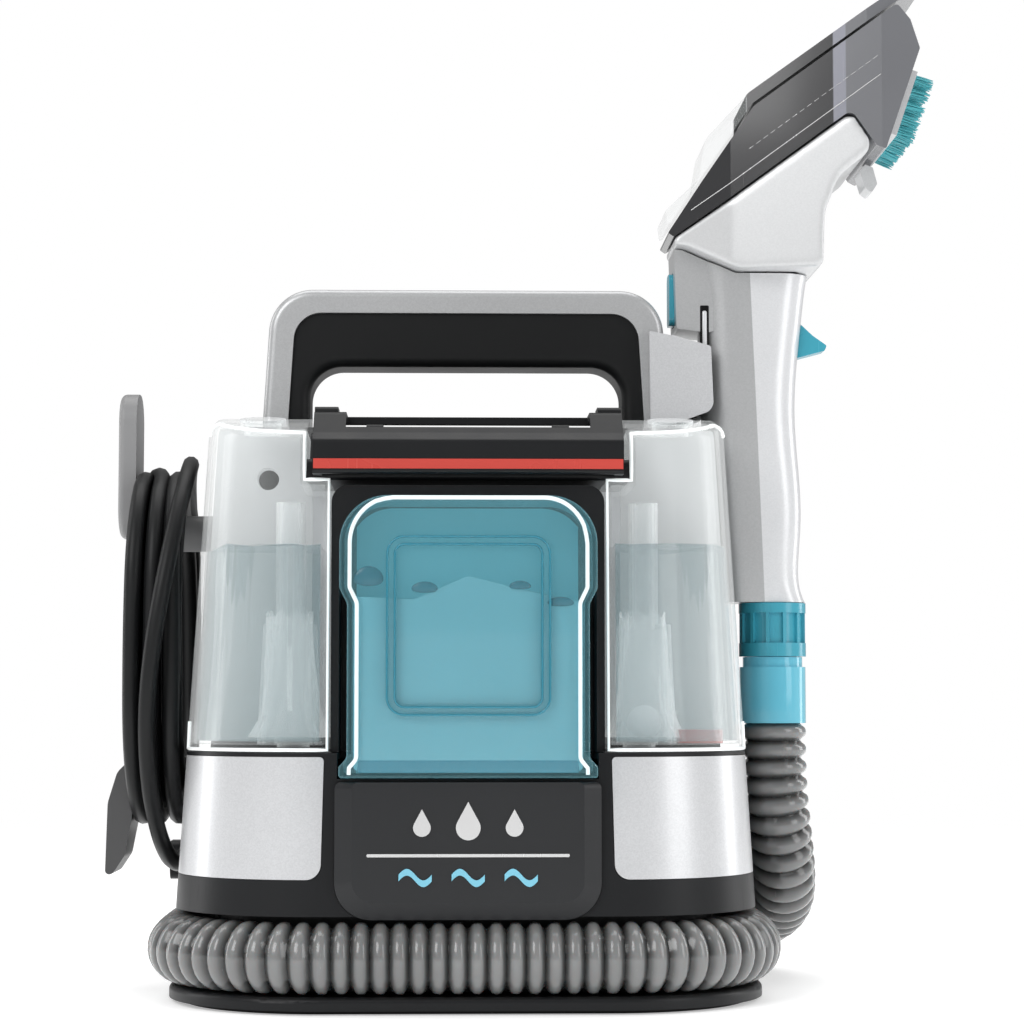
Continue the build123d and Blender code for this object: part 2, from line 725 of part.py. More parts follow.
def make_power_plug():
    """A two-pin plug whose boot comes out of the last turn and whose body hangs behind the coil."""
    x = (coil_x[0] + coil_x[1]) / 2
    y = coil_mid_y + coil_half_depth + 7.0
    top = 178.0
    boot = cone(5.2, 8.0, (x, y - 6.0, top + 8.0), (x, y, top - 24))
    body = block(x - 9, x + 9, y - 11, y + 11, top - 52, top - 22)
    body = fillet(body.edges().filter_by(Axis.Z), 5)
    plug = boot + body
    for side in (-1, 1):
        plug = plug + block(x - 0.8, x + 0.8, y + side * 6.3 - 3, y + side * 6.3 + 3, top - 69, top - 50)
    return plug


# ---- tanks -------------------------------------------------------------------------------------------------
step_x = latch_half + 4.0
tank_top_front_y = -94.0
cap_x = 99.0
cap_y = -42.0
cap_radius = 9.0
plug_x = 84.0
plug_y = -32.0
plug_radius = 7.9


def tank_top_slope():
    return (tank_back_top_z - tank_front_top_z) / (tank_back_y - tank_top_front_y)


def cap_place():
    """The frame of the fill cap, square to the tank's sloping top."""
    z = tank_front_top_z + tank_top_slope() * (cap_y - tank_top_front_y)
    return Pos(cap_x, cap_y, z) * Rot(math.degrees(math.atan(tank_top_slope())), 0, 0)


def tank_form(inset):
    """The right tank: the machine's outer form, cut back to the spine, the tower and the sloping top."""
    form = envelope(tank_floor_z + inset, 292, inset)
    form = form & block(tank_inner_x + inset, 200, -150, tank_back_y - inset, 0, 400)
    front_y = tank_top_front_y
    slope = tank_top_slope()
    low = tank_front_top_z - slope * 60 - inset
    high = tank_front_top_z + slope * 140 - inset
    above = side_plate([(front_y - 60, low), (front_y + 140, high), (front_y + 140, 420), (front_y - 60, 420)],
                       [0, 0, 0, 0], 0, 220)
    notch = block(0, step_x + inset, -150, 0, latch_floor_z - 2.2 - inset, 400)
    return form - above - notch


def make_right_tank():
    outer = tank_form(0)
    top = [edge for edge in outer.edges() if edge.center().Z > tank_front_top_z - 6
           and edge.center().X > step_x + 2]
    outer = fillet(top, 6)
    inner = tank_form(tank_wall)
    inlet = cap_place() * rod(cap_radius + 0.15, (0, 0, -20), (0, 0, 20))
    valve = rod(plug_radius + 0.1, (plug_x, plug_y, 110), (plug_x, plug_y, 130))
    return one_solid(outer - inner - inlet - valve)


standpipe_x = 84.0
standpipe_y = -62.0
pipe_radius = 7.0


def make_right_standpipe():
    """The stepped pipe that stands in a tank: a drafted box below, a narrow tube above."""
    foot = Pos(standpipe_x, standpipe_y, tank_floor_z + tank_wall + 0.2) * RectangleRounded(30, 26, 6)
    head = Pos(standpipe_x, standpipe_y, 178) * RectangleRounded(25, 22, 6)
    box = loft([foot, head])
    tube = rod(pipe_radius, (standpipe_x, standpipe_y, 170), (standpipe_x, standpipe_y, 236))
    foot_in = Pos(standpipe_x, standpipe_y, tank_floor_z) * RectangleRounded(26, 22, 5)
    head_in = Pos(standpipe_x, standpipe_y, 175.6) * RectangleRounded(21, 18, 5)
    box_hollow = loft([foot_in, head_in])
    bore = rod(pipe_radius - 1.6, (standpipe_x, standpipe_y, 160), (standpipe_x, standpipe_y, 240))
    return box + tube - box_hollow - bore


def make_recovery_float():
    """The ball that shuts the recovery tank's pipe when the tank is full."""
    ball = Pos(standpipe_x, standpipe_y, 132) * Sphere(8.0)
    return ball


def make_recovery_filter():
    """The red strainer block on the recovery tank's floor."""
    floor = tank_floor_z + tank_wall + 0.2
    body = block(100, 121, -72, -48, floor + 0.2, floor + 6.6)
    return fillet(body.edges().filter_by(Axis.Z), 4)


def make_tank_plugs():
    """The drain plug and the fill cap of both tanks."""
    floor = tank_floor_z + tank_wall
    seat = rod(plug_radius, (plug_x, plug_y, tank_floor_z + 0.3), (plug_x, plug_y, floor + 0.1))
    head = rod(plug_radius + 1.5, (plug_x, plug_y, floor + 0.1), (plug_x, plug_y, floor + 4))
    stem = rod(cap_radius, (0, 0, -6), (0, 0, 0.6))
    flange = rod(cap_radius + 2.2, (0, 0, 0.15), (0, 0, 1.6))
    plug = one_solid(seat + head)
    cap = one_solid(cap_place() * (stem + flange))
    return Compound(children=[plug, cap, one_solid(mirrored(plug)), one_solid(mirrored(cap))])


def make_tank_bridge():
    """The dark beam that ties both tanks together under the latch, with two lugs for the latch rod."""
    low = latch_floor_z - 1.6
    half = max(step_x, tank_inner_x) - fit_gap
    beam = side_plate([(-88, low), (tank_back_y, low), (tank_back_y, 272), (-42, 272), (-54, 255), (-88, 255)],
                      [2, 2, 4, 6, 8, 4], -half, half)
    lug_outline = [(latch_axis_y - 6, 252), (latch_axis_y + 6, 252), (latch_axis_y + 5, 272.6),
                   (latch_axis_y - 5, 272.6)]
    lugs = side_plate(lug_outline, [0, 0, 3, 3], 40, 48)
    bore = rod(rod_radius + 0.02, (-60, latch_axis_y, latch_axis_z), (60, latch_axis_y, latch_axis_z))
    return beam + lugs + mirrored(lugs) - bore


def make_latch_rod():
    return rod(rod_radius, (-latch_half + 3, latch_axis_y, latch_axis_z),
               (latch_half - 3, latch_axis_y, latch_axis_z))


def make_tank_latch():
    section = [(-104.5, latch_floor_z), (-104.5, 262), (-99, 266), (-88, 277), (-59, 277), (-59, 262), (-91, 262),
               (-91, latch_floor_z)]
    outer = side_plate(section, [1.5, 3, 6, 5, 5, 1, 2, 1.5], -latch_half, latch_half)
    room = side_plate([(-101, 240), (-101, 261), (-88, 273.6), (-50, 273.6), (-50, 240)],
                      [0, 3, 5, 0, 0], -latch_half + 4, latch_half - 4)
    slot = block(-latch_half + 15, latch_half - 15, latch_axis_y - 25, latch_axis_y + 6, latch_axis_z + 0.5, 290)
    groove = block(-latch_half - 1, latch_half + 1, -106, -103.3, 248.6, 253.6)
    bore = rod(rod_radius + running_gap, (-100, latch_axis_y, latch_axis_z), (100, latch_axis_y, latch_axis_z))
    ears = rod(6.0, (latch_half - 12, latch_axis_y, latch_axis_z), (latch_half - 3, latch_axis_y, latch_axis_z))
    humps = block(-latch_half, -latch_half + 11, -84, -64, 274, 280)
    humps = fillet(humps.edges().filter_by(Axis.X).group_by(Axis.Z)[-1], 3)
    latch = outer - room + ears + mirrored(ears) + humps + mirrored(humps)
    return latch - slot - groove - bore


def make_latch_stripe():
    return block(-latch_half + 0.4, latch_half - 0.4, -104.7, -103.4, 248.8, 253.4)


# ---- solution tank -----------------------------------------------------------------------------------------
solution_cap_z = 214.0
frame_half = 37.0
frame_floor_z = 135.5
frame_top_z = 216.5
frame_width = 3.5
frame_rise = 1.4


def solution_outline(inset):
    half = solution_half - inset
    waist = half - solution_waist
    low = solution_floor_z + inset
    high = solution_top_z - inset
    points = [(-half, low), (half, low), (half, low + 5), (waist, low + 9), (waist, 186), (half, 193),
              (half, high), (-half, high), (-half, 193), (-waist, 186), (-waist, low + 9), (-half, low + 5)]
    radii = [1.5, 1.5, 1.5, 3, 4, 4, 22 - inset, 22 - inset, 4, 4, 3, 1.5]
    return points, radii


def make_solution_tank():
    points, radii = solution_outline(0)
    outer = front_plate(points, radii, solution_front_y, solution_back_y)
    front = outer.faces().sort_by(Axis.Y)[0]
    outer = fillet(front.edges(), 1.4)
    inside, inside_radii = solution_outline(tank_wall)
    inner = front_plate(inside, inside_radii, solution_front_y + tank_wall, solution_back_y - tank_wall)
    mouth = rod(8.4, (0, solution_back_y - 5, solution_cap_z), (0, solution_back_y + 3, solution_cap_z))
    return outer - inner - mouth + solution_frame()


def solution_frame():
    """The raised rounded frame on the front of the solution tank."""
    rings = []
    for inset, corner in ((0.0, 8.0), (frame_width, 8.0 - frame_width)):
        half = frame_half - inset
        low = frame_floor_z + inset
        high = frame_top_z - inset
        rings.append(front_plate([(-half, low), (half, low), (half, high), (-half, high)], corner,
                                 solution_front_y - frame_rise, solution_front_y + 0.3))
    return rings[0] - rings[1]


def make_solution_cap():
    stem = rod(8.0, (0, solution_back_y - 4, solution_cap_z), (0, solution_back_y + 0.2, solution_cap_z))
    cap = rod(11.8, (0, solution_back_y + 0.2, solution_cap_z), (0, solution_back_y + 9, solution_cap_z))
    return stem + cap


# ---- wand --------------------------------------------------------------------------------------------------
wand_sections = [
    (191.3, 127.5, 170.6, 15.0, 12.0),
    (230.0, 124.4, 168.6, 17.0, 13.5),
    (270.0, 120.6, 166.8, 18.5, 15.0),
    (300.0, 118.6, 166.4, 19.0, 15.5),
    (322.0, 118.0, 168.4, 19.0, 15.5),
    (345.0, 117.0, 171.0, 19.0, 15.5),
    (372.0, 112.0, 179.0, 19.0, 15.5),
]
heel_outline = [(104.2, 372), (105.4, 328.4), (122, 326.5), (150, 340), (150, 372)]
parting = [(90, 368.4), (108, 368.4), (134.8, 356.3), (200, 356.3)]
seam_top = (141.5, 372.0)
seam_bottom = (149.0, 191.0)
seam_foot = (149.0, 100.0)


def wand_form(inset):
    """The grip as a smooth loft of rounded sections, with the wide heel at the top of its back."""
    faces = []
    for z, back, front, half, corner in wand_sections:
        section = RectangleRounded(front - back - 2 * inset, 2 * (half - inset), corner - inset)
        faces.append(Pos((front + back) / 2, 0, z) * section)
    grip = loft(faces)
    heel = front_plate(heel_outline, [0, 2, 6, 0, 0], -wand_half_depth + 3 + inset, wand_half_depth - 3 - inset)
    if inset:
        heel = heel & block(104.2 + inset, 200, -50, 50, 328.4 + inset, 400)
    return grip + heel


def below_parting(drop):
    points = [(90, 100), *[(x, z - drop) for x, z in parting], (200, 100)]
    return front_plate(points, [0, 0, 3, 6, 0, 0], -60, 60)


def make_wand_shells():
    outer = wand_form(0)
    hollow = wand_form(shell_wall)
    floor = block(100, 200, -40, 40, 0, 193.8)
    shell = (outer - (hollow - floor)) & below_parting(0)
    spigot_way = rod(spigot_radius + 0.2, (spigot_x, 0, 300), (spigot_x, 0, 400))
    cuff_way = rod(8.9, (cuff_x, 0, 180), (cuff_x - 0.8, 0, 200))
    shell = shell - cuff_way - spigot_way
    rear_region = front_plate([(60, 100), seam_foot, seam_bottom, seam_top, (60, 372)], [0, 0, 0, 0, 0],
                              -60, 60)
    rear = shell & rear_region
    front = shell - rear_region - block(153, 190, -trigger_half - 0.4, trigger_half + 0.4, 308.5, 340)
    button_cut = block(100, 112, -release_half - 0.3, release_half + 0.3, 331.2, 358.2)
    rear = rear - button_cut
    pivot_x, pivot_z = trigger_axis
    bosses = block(pivot_x - 4, pivot_x + 2.5, -15.5, 15.5, pivot_z - 4, pivot_z + 4)
    bosses = bosses - block(100, 200, -trigger_half - 0.4, trigger_half + 0.4, 300, 400)
    pin_way = rod(1.6, (pivot_x, -13, pivot_z), (pivot_x, 13, pivot_z))
    front = front + (bosses & outer) - pin_way
    return one_solid(rear), one_solid(front)


def make_wand_spigot():
    """The pipe that carries suction from the cuff to the tool head."""
    lower = rod(8.0, (cuff_x, 0, 186), (spigot_x + 3.0, 0, 330))
    upper = rod(spigot_radius, (spigot_x, 0, 326), (spigot_x, 0, 378))
    lower_bore = rod(6.4, (cuff_x + 0.2, 0, 180), (spigot_x + 3.0, 0, 332))
    upper_bore = rod(spigot_radius - 1.8, (spigot_x, 0, 329), (spigot_x, 0, 380))
    return upper + lower - lower_bore - upper_bore


def make_wand_collar():
    """The ribbed ring under the grip."""
    ring = rod(cuff_radius + 0.3, (cuff_x, 0, cuff_top_z + 0.3), (cuff_x, 0, collar_top_z))
    waist = Pos(cuff_x, 0, 178.5) * Cylinder(cuff_radius + 3, 15) - Pos(cuff_x, 0, 178.5) * Cylinder(
        cuff_radius - 1.6, 15)
    ring = ring - waist
    for rib in range(12):
        bar = Pos(cuff_radius - 1.2, 0, 178.5) * Box(2.4, 1.8, 16)
        ring = ring + Pos(cuff_x, 0, 0) * Rot(0, 0, 15 + rib * 30) * bar
    pipe_way = rod(8.9, (cuff_x, 0, 150), (cuff_x, 0, 200))
    return ring - pipe_way


def make_trigger():
    pivot_x, pivot_z = trigger_axis
    points = [(pivot_x - 5, pivot_z + 4), (167.0, 334.6), (175.5, 326.6), (182.6, 321.6), (181.5, 319.0),
              (167.4, 315.2), (159.5, 315.2)]
    lever = front_plate(points, [3, 2, 5, 1, 1, 2, 2], -trigger_half, trigger_half)
    boss = rod(4.0, (pivot_x, -trigger_half, pivot_z), (pivot_x, trigger_half, pivot_z))
    bore = rod(1.6, (pivot_x, -20, pivot_z), (pivot_x, 20, pivot_z))
    return lever + boss - bore


def make_trigger_pin():
    pivot_x, pivot_z = trigger_axis
    return rod(1.6 - running_gap, (pivot_x, -12.8, pivot_z), (pivot_x, 12.8, pivot_z))


def make_spray_valve():
    """The water valve behind the trigger, and its outlet."""
    return rod(3.5, (159.6, 0, 292), (159.6, 0, 306)) + rod(2.0, (159.6, 0, 306), (159.6, 0, 312))


def make_release_button():
    cap = block(102.6, 107.4, -release_half, release_half, 331.5, 357.9)
    cap = fillet(cap.edges().filter_by(Axis.X), 4)
    return cap


# ---- tool head ---------------------------------------------------------------------------------------------


def head_sides():
    """The wedge that widens the head from its neck to its mouth, seen from above."""
    face = Polygon((95, -head_neck_half - 4), (132, -head_neck_half - 5), (205, -head_mouth_half),
                   (240, -head_mouth_half), (240, head_mouth_half), (205, head_mouth_half),
                   (132, head_neck_half + 5), (95, head_neck_half + 4), align=None)
    return extrude(Pos(0, 0, 300) * face, amount=250)


def make_head_body():
    """The pale neck of the tool head, below the dark shroud."""
    outline = [(104, 369.0), (108.5, 369.0), (135.2, 356.9), (176.8, 356.9), (177.5, 384), (184.5, 402),
               (201.5, 415.5), (190.6, 433.6), (103.5, 372.8)]
    solid = front_plate(outline, [0, 2, 4, 3, 20, 14, 7, 4, 0.5], -60, 60) & head_sides()
    inner = front_plate([(121, 371), (136.5, 359), (160, 350), (172, 366), (173, 388), (184, 408), (186, 424)],
                        [1, 1, 1, 2, 10, 8, 2], -17, 17)
    spigot_room = rod(spigot_radius + 0.6, (spigot_x, 0, 340), (spigot_x, 0, 382))
    latch_way = block(90, 108, -8, 8, 360, 370.5)
    return solid - inner - spigot_room - latch_way


def make_head_shroud():
    """The dark suction hood, open at its mouth."""
    outline = [(103.4, 373.4), (190.4, 434.4), (202.2, 415.9), (206.7, 413.9), (224.1, 464.6), (219.5, 479.0),
               (213.0, 487.0), (143.4, 439.0), (118.0, 402.0), (100.5, 375.4)]
    solid = front_plate(outline, [1, 4, 1, 1, 2, 3, 2, 6, 8, 1], -70, 70) & head_sides()
    inside = front_plate([(128, 396), (190.0, 438.5), (206.0, 420), (232, 425), (232, 475), (212, 478), (146, 432)],
                         [3, 4, 1, 1, 1, 2, 6], -head_mouth_half + 3, head_mouth_half - 3)
    wedge = Pos(0, 0, 0) * Polygon((110, -16), (134, -22), (205, -head_mouth_half + 3),
                                   (250, -head_mouth_half + 3), (250, head_mouth_half - 3),
                                   (205, head_mouth_half - 3), (134, 22), (110, 16), align=None)
    inside = inside & extrude(Pos(0, 0, 300) * wedge, amount=250)
    throat = rod(9, (150, 0, 395), (150, 0, 425))
    return one_solid(solid - inside - throat)


def make_head_cover():
    """The clear cover on the hood, from the lip at the heel to the tip over the mouth."""
    outline = [(99.4, 386.8), (100.5, 378.5), (118.0, 404.5), (142.8, 440.4), (213.2, 488.8), (223.9, 491.6),
               (221.5, 494.2), (205.0, 489.6), (141.0, 446.0), (119.5, 423.0), (116.0, 402.5)]
    skin = front_plate(outline, [0.5, 1, 4, 5, 2, 0.5, 0.5, 3, 6, 7, 4], -70, 70) & head_sides()
    return skin & block(0, 400, -head_mouth_half + 2, head_mouth_half - 2, 0, 600)


def make_brush_plate():
    return brush_place() * Pos(3.0, 0, 0) * Box(4.0, 74, 34)


def brush_place():
    """The frame of the brush: its X axis leaves the head's mouth."""
    return Pos(214.5, 0, 440.5) * Rot(0, 18.9, 0)


def make_bristles():
    tufts = []
    for row in range(-2, 3):
        for column in range(-4, 5):
            tuft = Pos(9.6, column * 8.0, row * 7.0) * Rot(0, 90, 0) * Cylinder(2.6, 9.0)
            tufts.append(one_solid(brush_place() * tuft))
    return Compound(children=tufts)


def make_spray_nozzle():
    """The tab under the head that carries the spray tip."""
    outline = [(202.6, 414.0), (206.4, 412.4), (208.6, 404.0), (205.6, 399.4), (202.4, 402.0), (199.8, 410.5)]
    return front_plate(outline, [0.5, 0.5, 1.5, 1, 1, 1], -9, 9)


def make_hose_cuff():
    """The swivel cuff that joins the hose to the wand."""
    sleeve = rod(cuff_radius, (cuff_x, 0, cuff_bottom_z), (cuff_x, 0, cuff_top_z))
    step = rod(cuff_radius - 1.6, (cuff_x, 0, cuff_top_z - 6), (cuff_x, 0, cuff_top_z))
    shoulder = rod(cuff_radius + 1, (cuff_x, 0, cuff_top_z - 5), (cuff_x, 0, cuff_top_z + 1)) - step
    bore = rod(11.0, (cuff_x, 0, cuff_bottom_z + 6), (cuff_x, 0, 200))
    return sleeve - shoulder - bore


# ---- build every piece -------------------------------------------------------------------------------------
parts["foot_ring"] = make_foot()
parts["base_tray"] = make_tray()
parts["hose_port"] = make_hose_port()
parts["lower_housing"] = make_lower_housing()
parts["side_panel_left"] = make_side_panel_left()
parts["side_panel_right"] = mirrored(parts["side_panel_left"])
parts["badge_panel"] = make_badge_panel()
parts["badge_marks"] = Compound(children=[*make_badge_drops().solids(), one_solid(make_badge_bar())])
parts["badge_waves"] = make_badge_waves()
parts["exhaust_grille"] = make_exhaust_grille()
parts["housing_screws"] = make_housing_screws()
parts["tower_shell"] = make_tower_shell()
parts["tower_front_wall"] = make_tower_front_wall()
parts["centre_spine"] = make_centre_spine()
parts["button_bezel"] = make_button_bezel()
parts["power_button"] = make_power_button()
parts["fan_housing"] = make_fan_housing()
parts["impeller"] = make_impeller()
parts["suction_motor"] = make_suction_motor()
parts["water_pump"] = make_water_pump()
parts["control_board"] = make_control_board()
parts["handle_shell"] = make_handle_shell()
parts["handle_grip"] = make_handle_grip()
parts["wand_cradle"] = make_wand_cradle()
parts["cradle_liner"] = make_cradle_liner()
parts["cord_hook_upper"] = make_cord_hook_upper()
parts["cord_hook_lower"] = make_cord_hook_lower()
parts["strain_relief"] = make_strain_relief()
parts["power_cord_lead"] = cord_tube(lead_route, cord_diameter, "cord lead")
parts["power_cord_coil"] = coil_form()
parts["power_plug"] = make_power_plug()
parts["suction_hose"] = cord_tube(hose_route, hose_diameter, "suction hose")
right_tank = make_right_tank()
right_standpipe = make_right_standpipe()
parts["recovery_tank"] = right_tank
parts["clean_tank"] = mirrored(right_tank)
parts["recovery_standpipe"] = right_standpipe
parts["clean_standpipe"] = mirrored(right_standpipe)
parts["recovery_float"] = make_recovery_float()
parts["recovery_filter"] = make_recovery_filter()
parts["tank_plugs"] = make_tank_plugs()
parts["tank_bridge"] = make_tank_bridge()
parts["latch_rod"] = make_latch_rod()
parts["tank_latch"] = make_tank_latch()
parts["latch_stripe"] = make_latch_stripe()
parts["solution_tank"] = make_solution_tank()
parts["solution_cap"] = make_solution_cap()
parts["wand_rear_shell"], parts["wand_front_shell"] = make_wand_shells()
parts["wand_spigot"] = make_wand_spigot()
parts["wand_collar"] = make_wand_collar()
parts["trigger"] = make_trigger()
parts["trigger_pin"] = make_trigger_pin()
parts["spray_valve"] = make_spray_valve()
parts["release_button"] = make_release_button()
parts["hose_cuff"] = make_hose_cuff()
parts["head_body"] = make_head_body()
parts["head_shroud"] = make_head_shroud()
parts["head_cover"] = make_head_cover()
parts["brush_plate"] = make_brush_plate()
parts["brush_bristles"] = make_bristles()
parts["spray_nozzle"] = make_spray_nozzle()

handle_pieces = ["handle_shell", "handle_grip", "wand_cradle", "cradle_liner"]
wand_pieces = ["wand_rear_shell", "wand_front_shell", "wand_spigot", "wand_collar", "trigger", "trigger_pin",
               "spray_valve", "release_button", "hose_cuff", "head_body", "head_shroud", "head_cover",
               "brush_plate", "brush_bristles", "spray_nozzle"]
for name in handle_pieces:
    parts[name] = Pos(0, carry_y, 0) * parts[name]
for name in wand_pieces:
    parts[name] = Pos(half_width + wand_reach - cuff_x, carry_y, 0) * parts[name]

os.makedirs("parts", exist_ok=True)
for name, shape in parts.items():
    export_step(shape, os.path.join("parts", name + ".step"))
print(len(parts), "pieces written")
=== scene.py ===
"""Looks of a portable carpet cleaner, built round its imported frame. Metres, +Z up, -Y to the front."""

import logging
import math
import random
from collections.abc import Callable, Sequence
from dataclasses import dataclass, field
from enum import Enum

import bpy
from bpy.types import Material, Node, NodeSocket, NodeTree, Object
from mathutils import Matrix, Vector


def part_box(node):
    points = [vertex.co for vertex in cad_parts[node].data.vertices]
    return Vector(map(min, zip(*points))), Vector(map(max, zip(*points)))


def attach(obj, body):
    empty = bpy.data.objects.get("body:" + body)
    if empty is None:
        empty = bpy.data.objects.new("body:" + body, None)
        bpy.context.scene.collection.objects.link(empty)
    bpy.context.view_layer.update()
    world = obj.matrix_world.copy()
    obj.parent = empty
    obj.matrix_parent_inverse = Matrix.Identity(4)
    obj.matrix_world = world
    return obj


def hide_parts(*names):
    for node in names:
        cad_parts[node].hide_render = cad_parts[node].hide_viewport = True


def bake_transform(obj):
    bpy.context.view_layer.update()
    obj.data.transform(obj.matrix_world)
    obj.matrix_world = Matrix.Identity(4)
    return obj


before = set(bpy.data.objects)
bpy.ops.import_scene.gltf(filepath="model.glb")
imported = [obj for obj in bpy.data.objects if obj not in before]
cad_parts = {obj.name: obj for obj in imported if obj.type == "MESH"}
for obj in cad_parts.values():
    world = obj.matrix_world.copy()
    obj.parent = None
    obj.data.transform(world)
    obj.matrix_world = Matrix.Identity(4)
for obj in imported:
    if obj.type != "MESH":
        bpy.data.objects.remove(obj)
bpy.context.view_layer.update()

LOG = logging.getLogger("carpet_cleaner")
Point = tuple[float, float, float]


class Body(str, Enum):
    """The moving bodies of the machine."""

    CHASSIS = "chassis"
    TANKS = "tank_module"
    CARTRIDGE = "solution_cartridge"
    WAND = "wand"
    HEAD = "tool_head"
    CUFF = "cuff"


def linear(code: str) -> tuple[float, float, float, float]:
    """A display colour as a linear one.

    Args:
        code: six hex digits after a hash sign.

    Returns:
        Red, green, blue and a full alpha.
    """
    values = [int(code[i:i + 2], 16) / 255 for i in (1, 3, 5)]
    red, green, blue = (v / 12.92 if v <= 0.04045 else ((v + 0.055) / 1.055) ** 2.4 for v in values)
    return red, green, blue, 1.0


# ---- shader groups -----------------------------------------------------------------------------------------
class GroupMaker:
    """Builds one shader group with named sockets."""

    def __init__(self, name: str, inputs: Sequence[tuple[str, str, float]], outputs: Sequence[tuple[str, str]]):
        """Opens an empty group.

        Args:
            name: the group's name.
            inputs: each input's name, socket type and starting value.
            outputs: each output's name and socket type.
        """
        self.tree: NodeTree = bpy.data.node_groups.new(name, "ShaderNodeTree")
        for label, kind, value in inputs:
            socket = self.tree.interface.new_socket(name=label, in_out="INPUT", socket_type=kind)
            if kind == "NodeSocketFloat":
                socket.default_value = value
        for label, kind in outputs:
            self.tree.interface.new_socket(name=label, in_out="OUTPUT", socket_type=kind)
        self.inward = self.tree.nodes.new("NodeGroupInput")
        self.outward = self.tree.nodes.new("NodeGroupOutput")

    def node(self, kind: str, links: dict[str | int, NodeSocket | float], **settings: object) -> Node:
        """Adds a node.

        Args:
            kind: the node's type.
            links: what each input socket takes, a socket or a value.
            settings: attributes of the node.

        Returns:
            The new node.
        """
        return add_node(self.tree, kind, links, **settings)

    def give(self, label: str, socket: NodeSocket) -> None:
        """Joins a socket to the group's output."""
        self.tree.links.new(socket, self.outward.inputs[label])

    def tinted(self, value: NodeSocket, low: float, high: float, amount: str) -> NodeSocket:
        """The group's colour made lighter and darker by a value.

        Args:
            value: what drives the change.
            low: the value at which the colour is darkest.
            high: the value at which it is lightest.
            amount: the input that says how large the change is.

        Returns:
            The changed colour.
        """
        ins = self.inward.outputs
        spread = self.node("ShaderNodeMapRange", {"Value": value, "From Min": low, "From Max": high,
                                                  "To Min": -1.0, "To Max": 1.0})
        part = self.node("ShaderNodeMath", {0: spread.outputs[0], 1: ins[amount]}, operation="MULTIPLY")
        gain = self.node("ShaderNodeMath", {0: part.outputs[0], 1: 1.0}, operation="ADD")
        return self.node("ShaderNodeVectorMath", {0: ins["Colour"], "Scale": gain.outputs[0]},
                         operation="SCALE").outputs[0]


def add_node(tree: NodeTree, kind: str, links: dict[str | int, NodeSocket | float], **settings: object) -> Node:
    """Adds a node to a tree and wires it.

    Args:
        tree: the node tree.
        kind: the node's type.
        links: what each input socket takes, a socket or a value.
        settings: attributes of the node.

    Returns:
        The new node.
    """
    node = tree.nodes.new(kind)
    for key, value in settings.items():
        setattr(node, key, value)
    for key, value in links.items():
        if isinstance(value, NodeSocket):
            tree.links.new(value, node.inputs[key])
        else:
            node.inputs[key].default_value = value
    return node


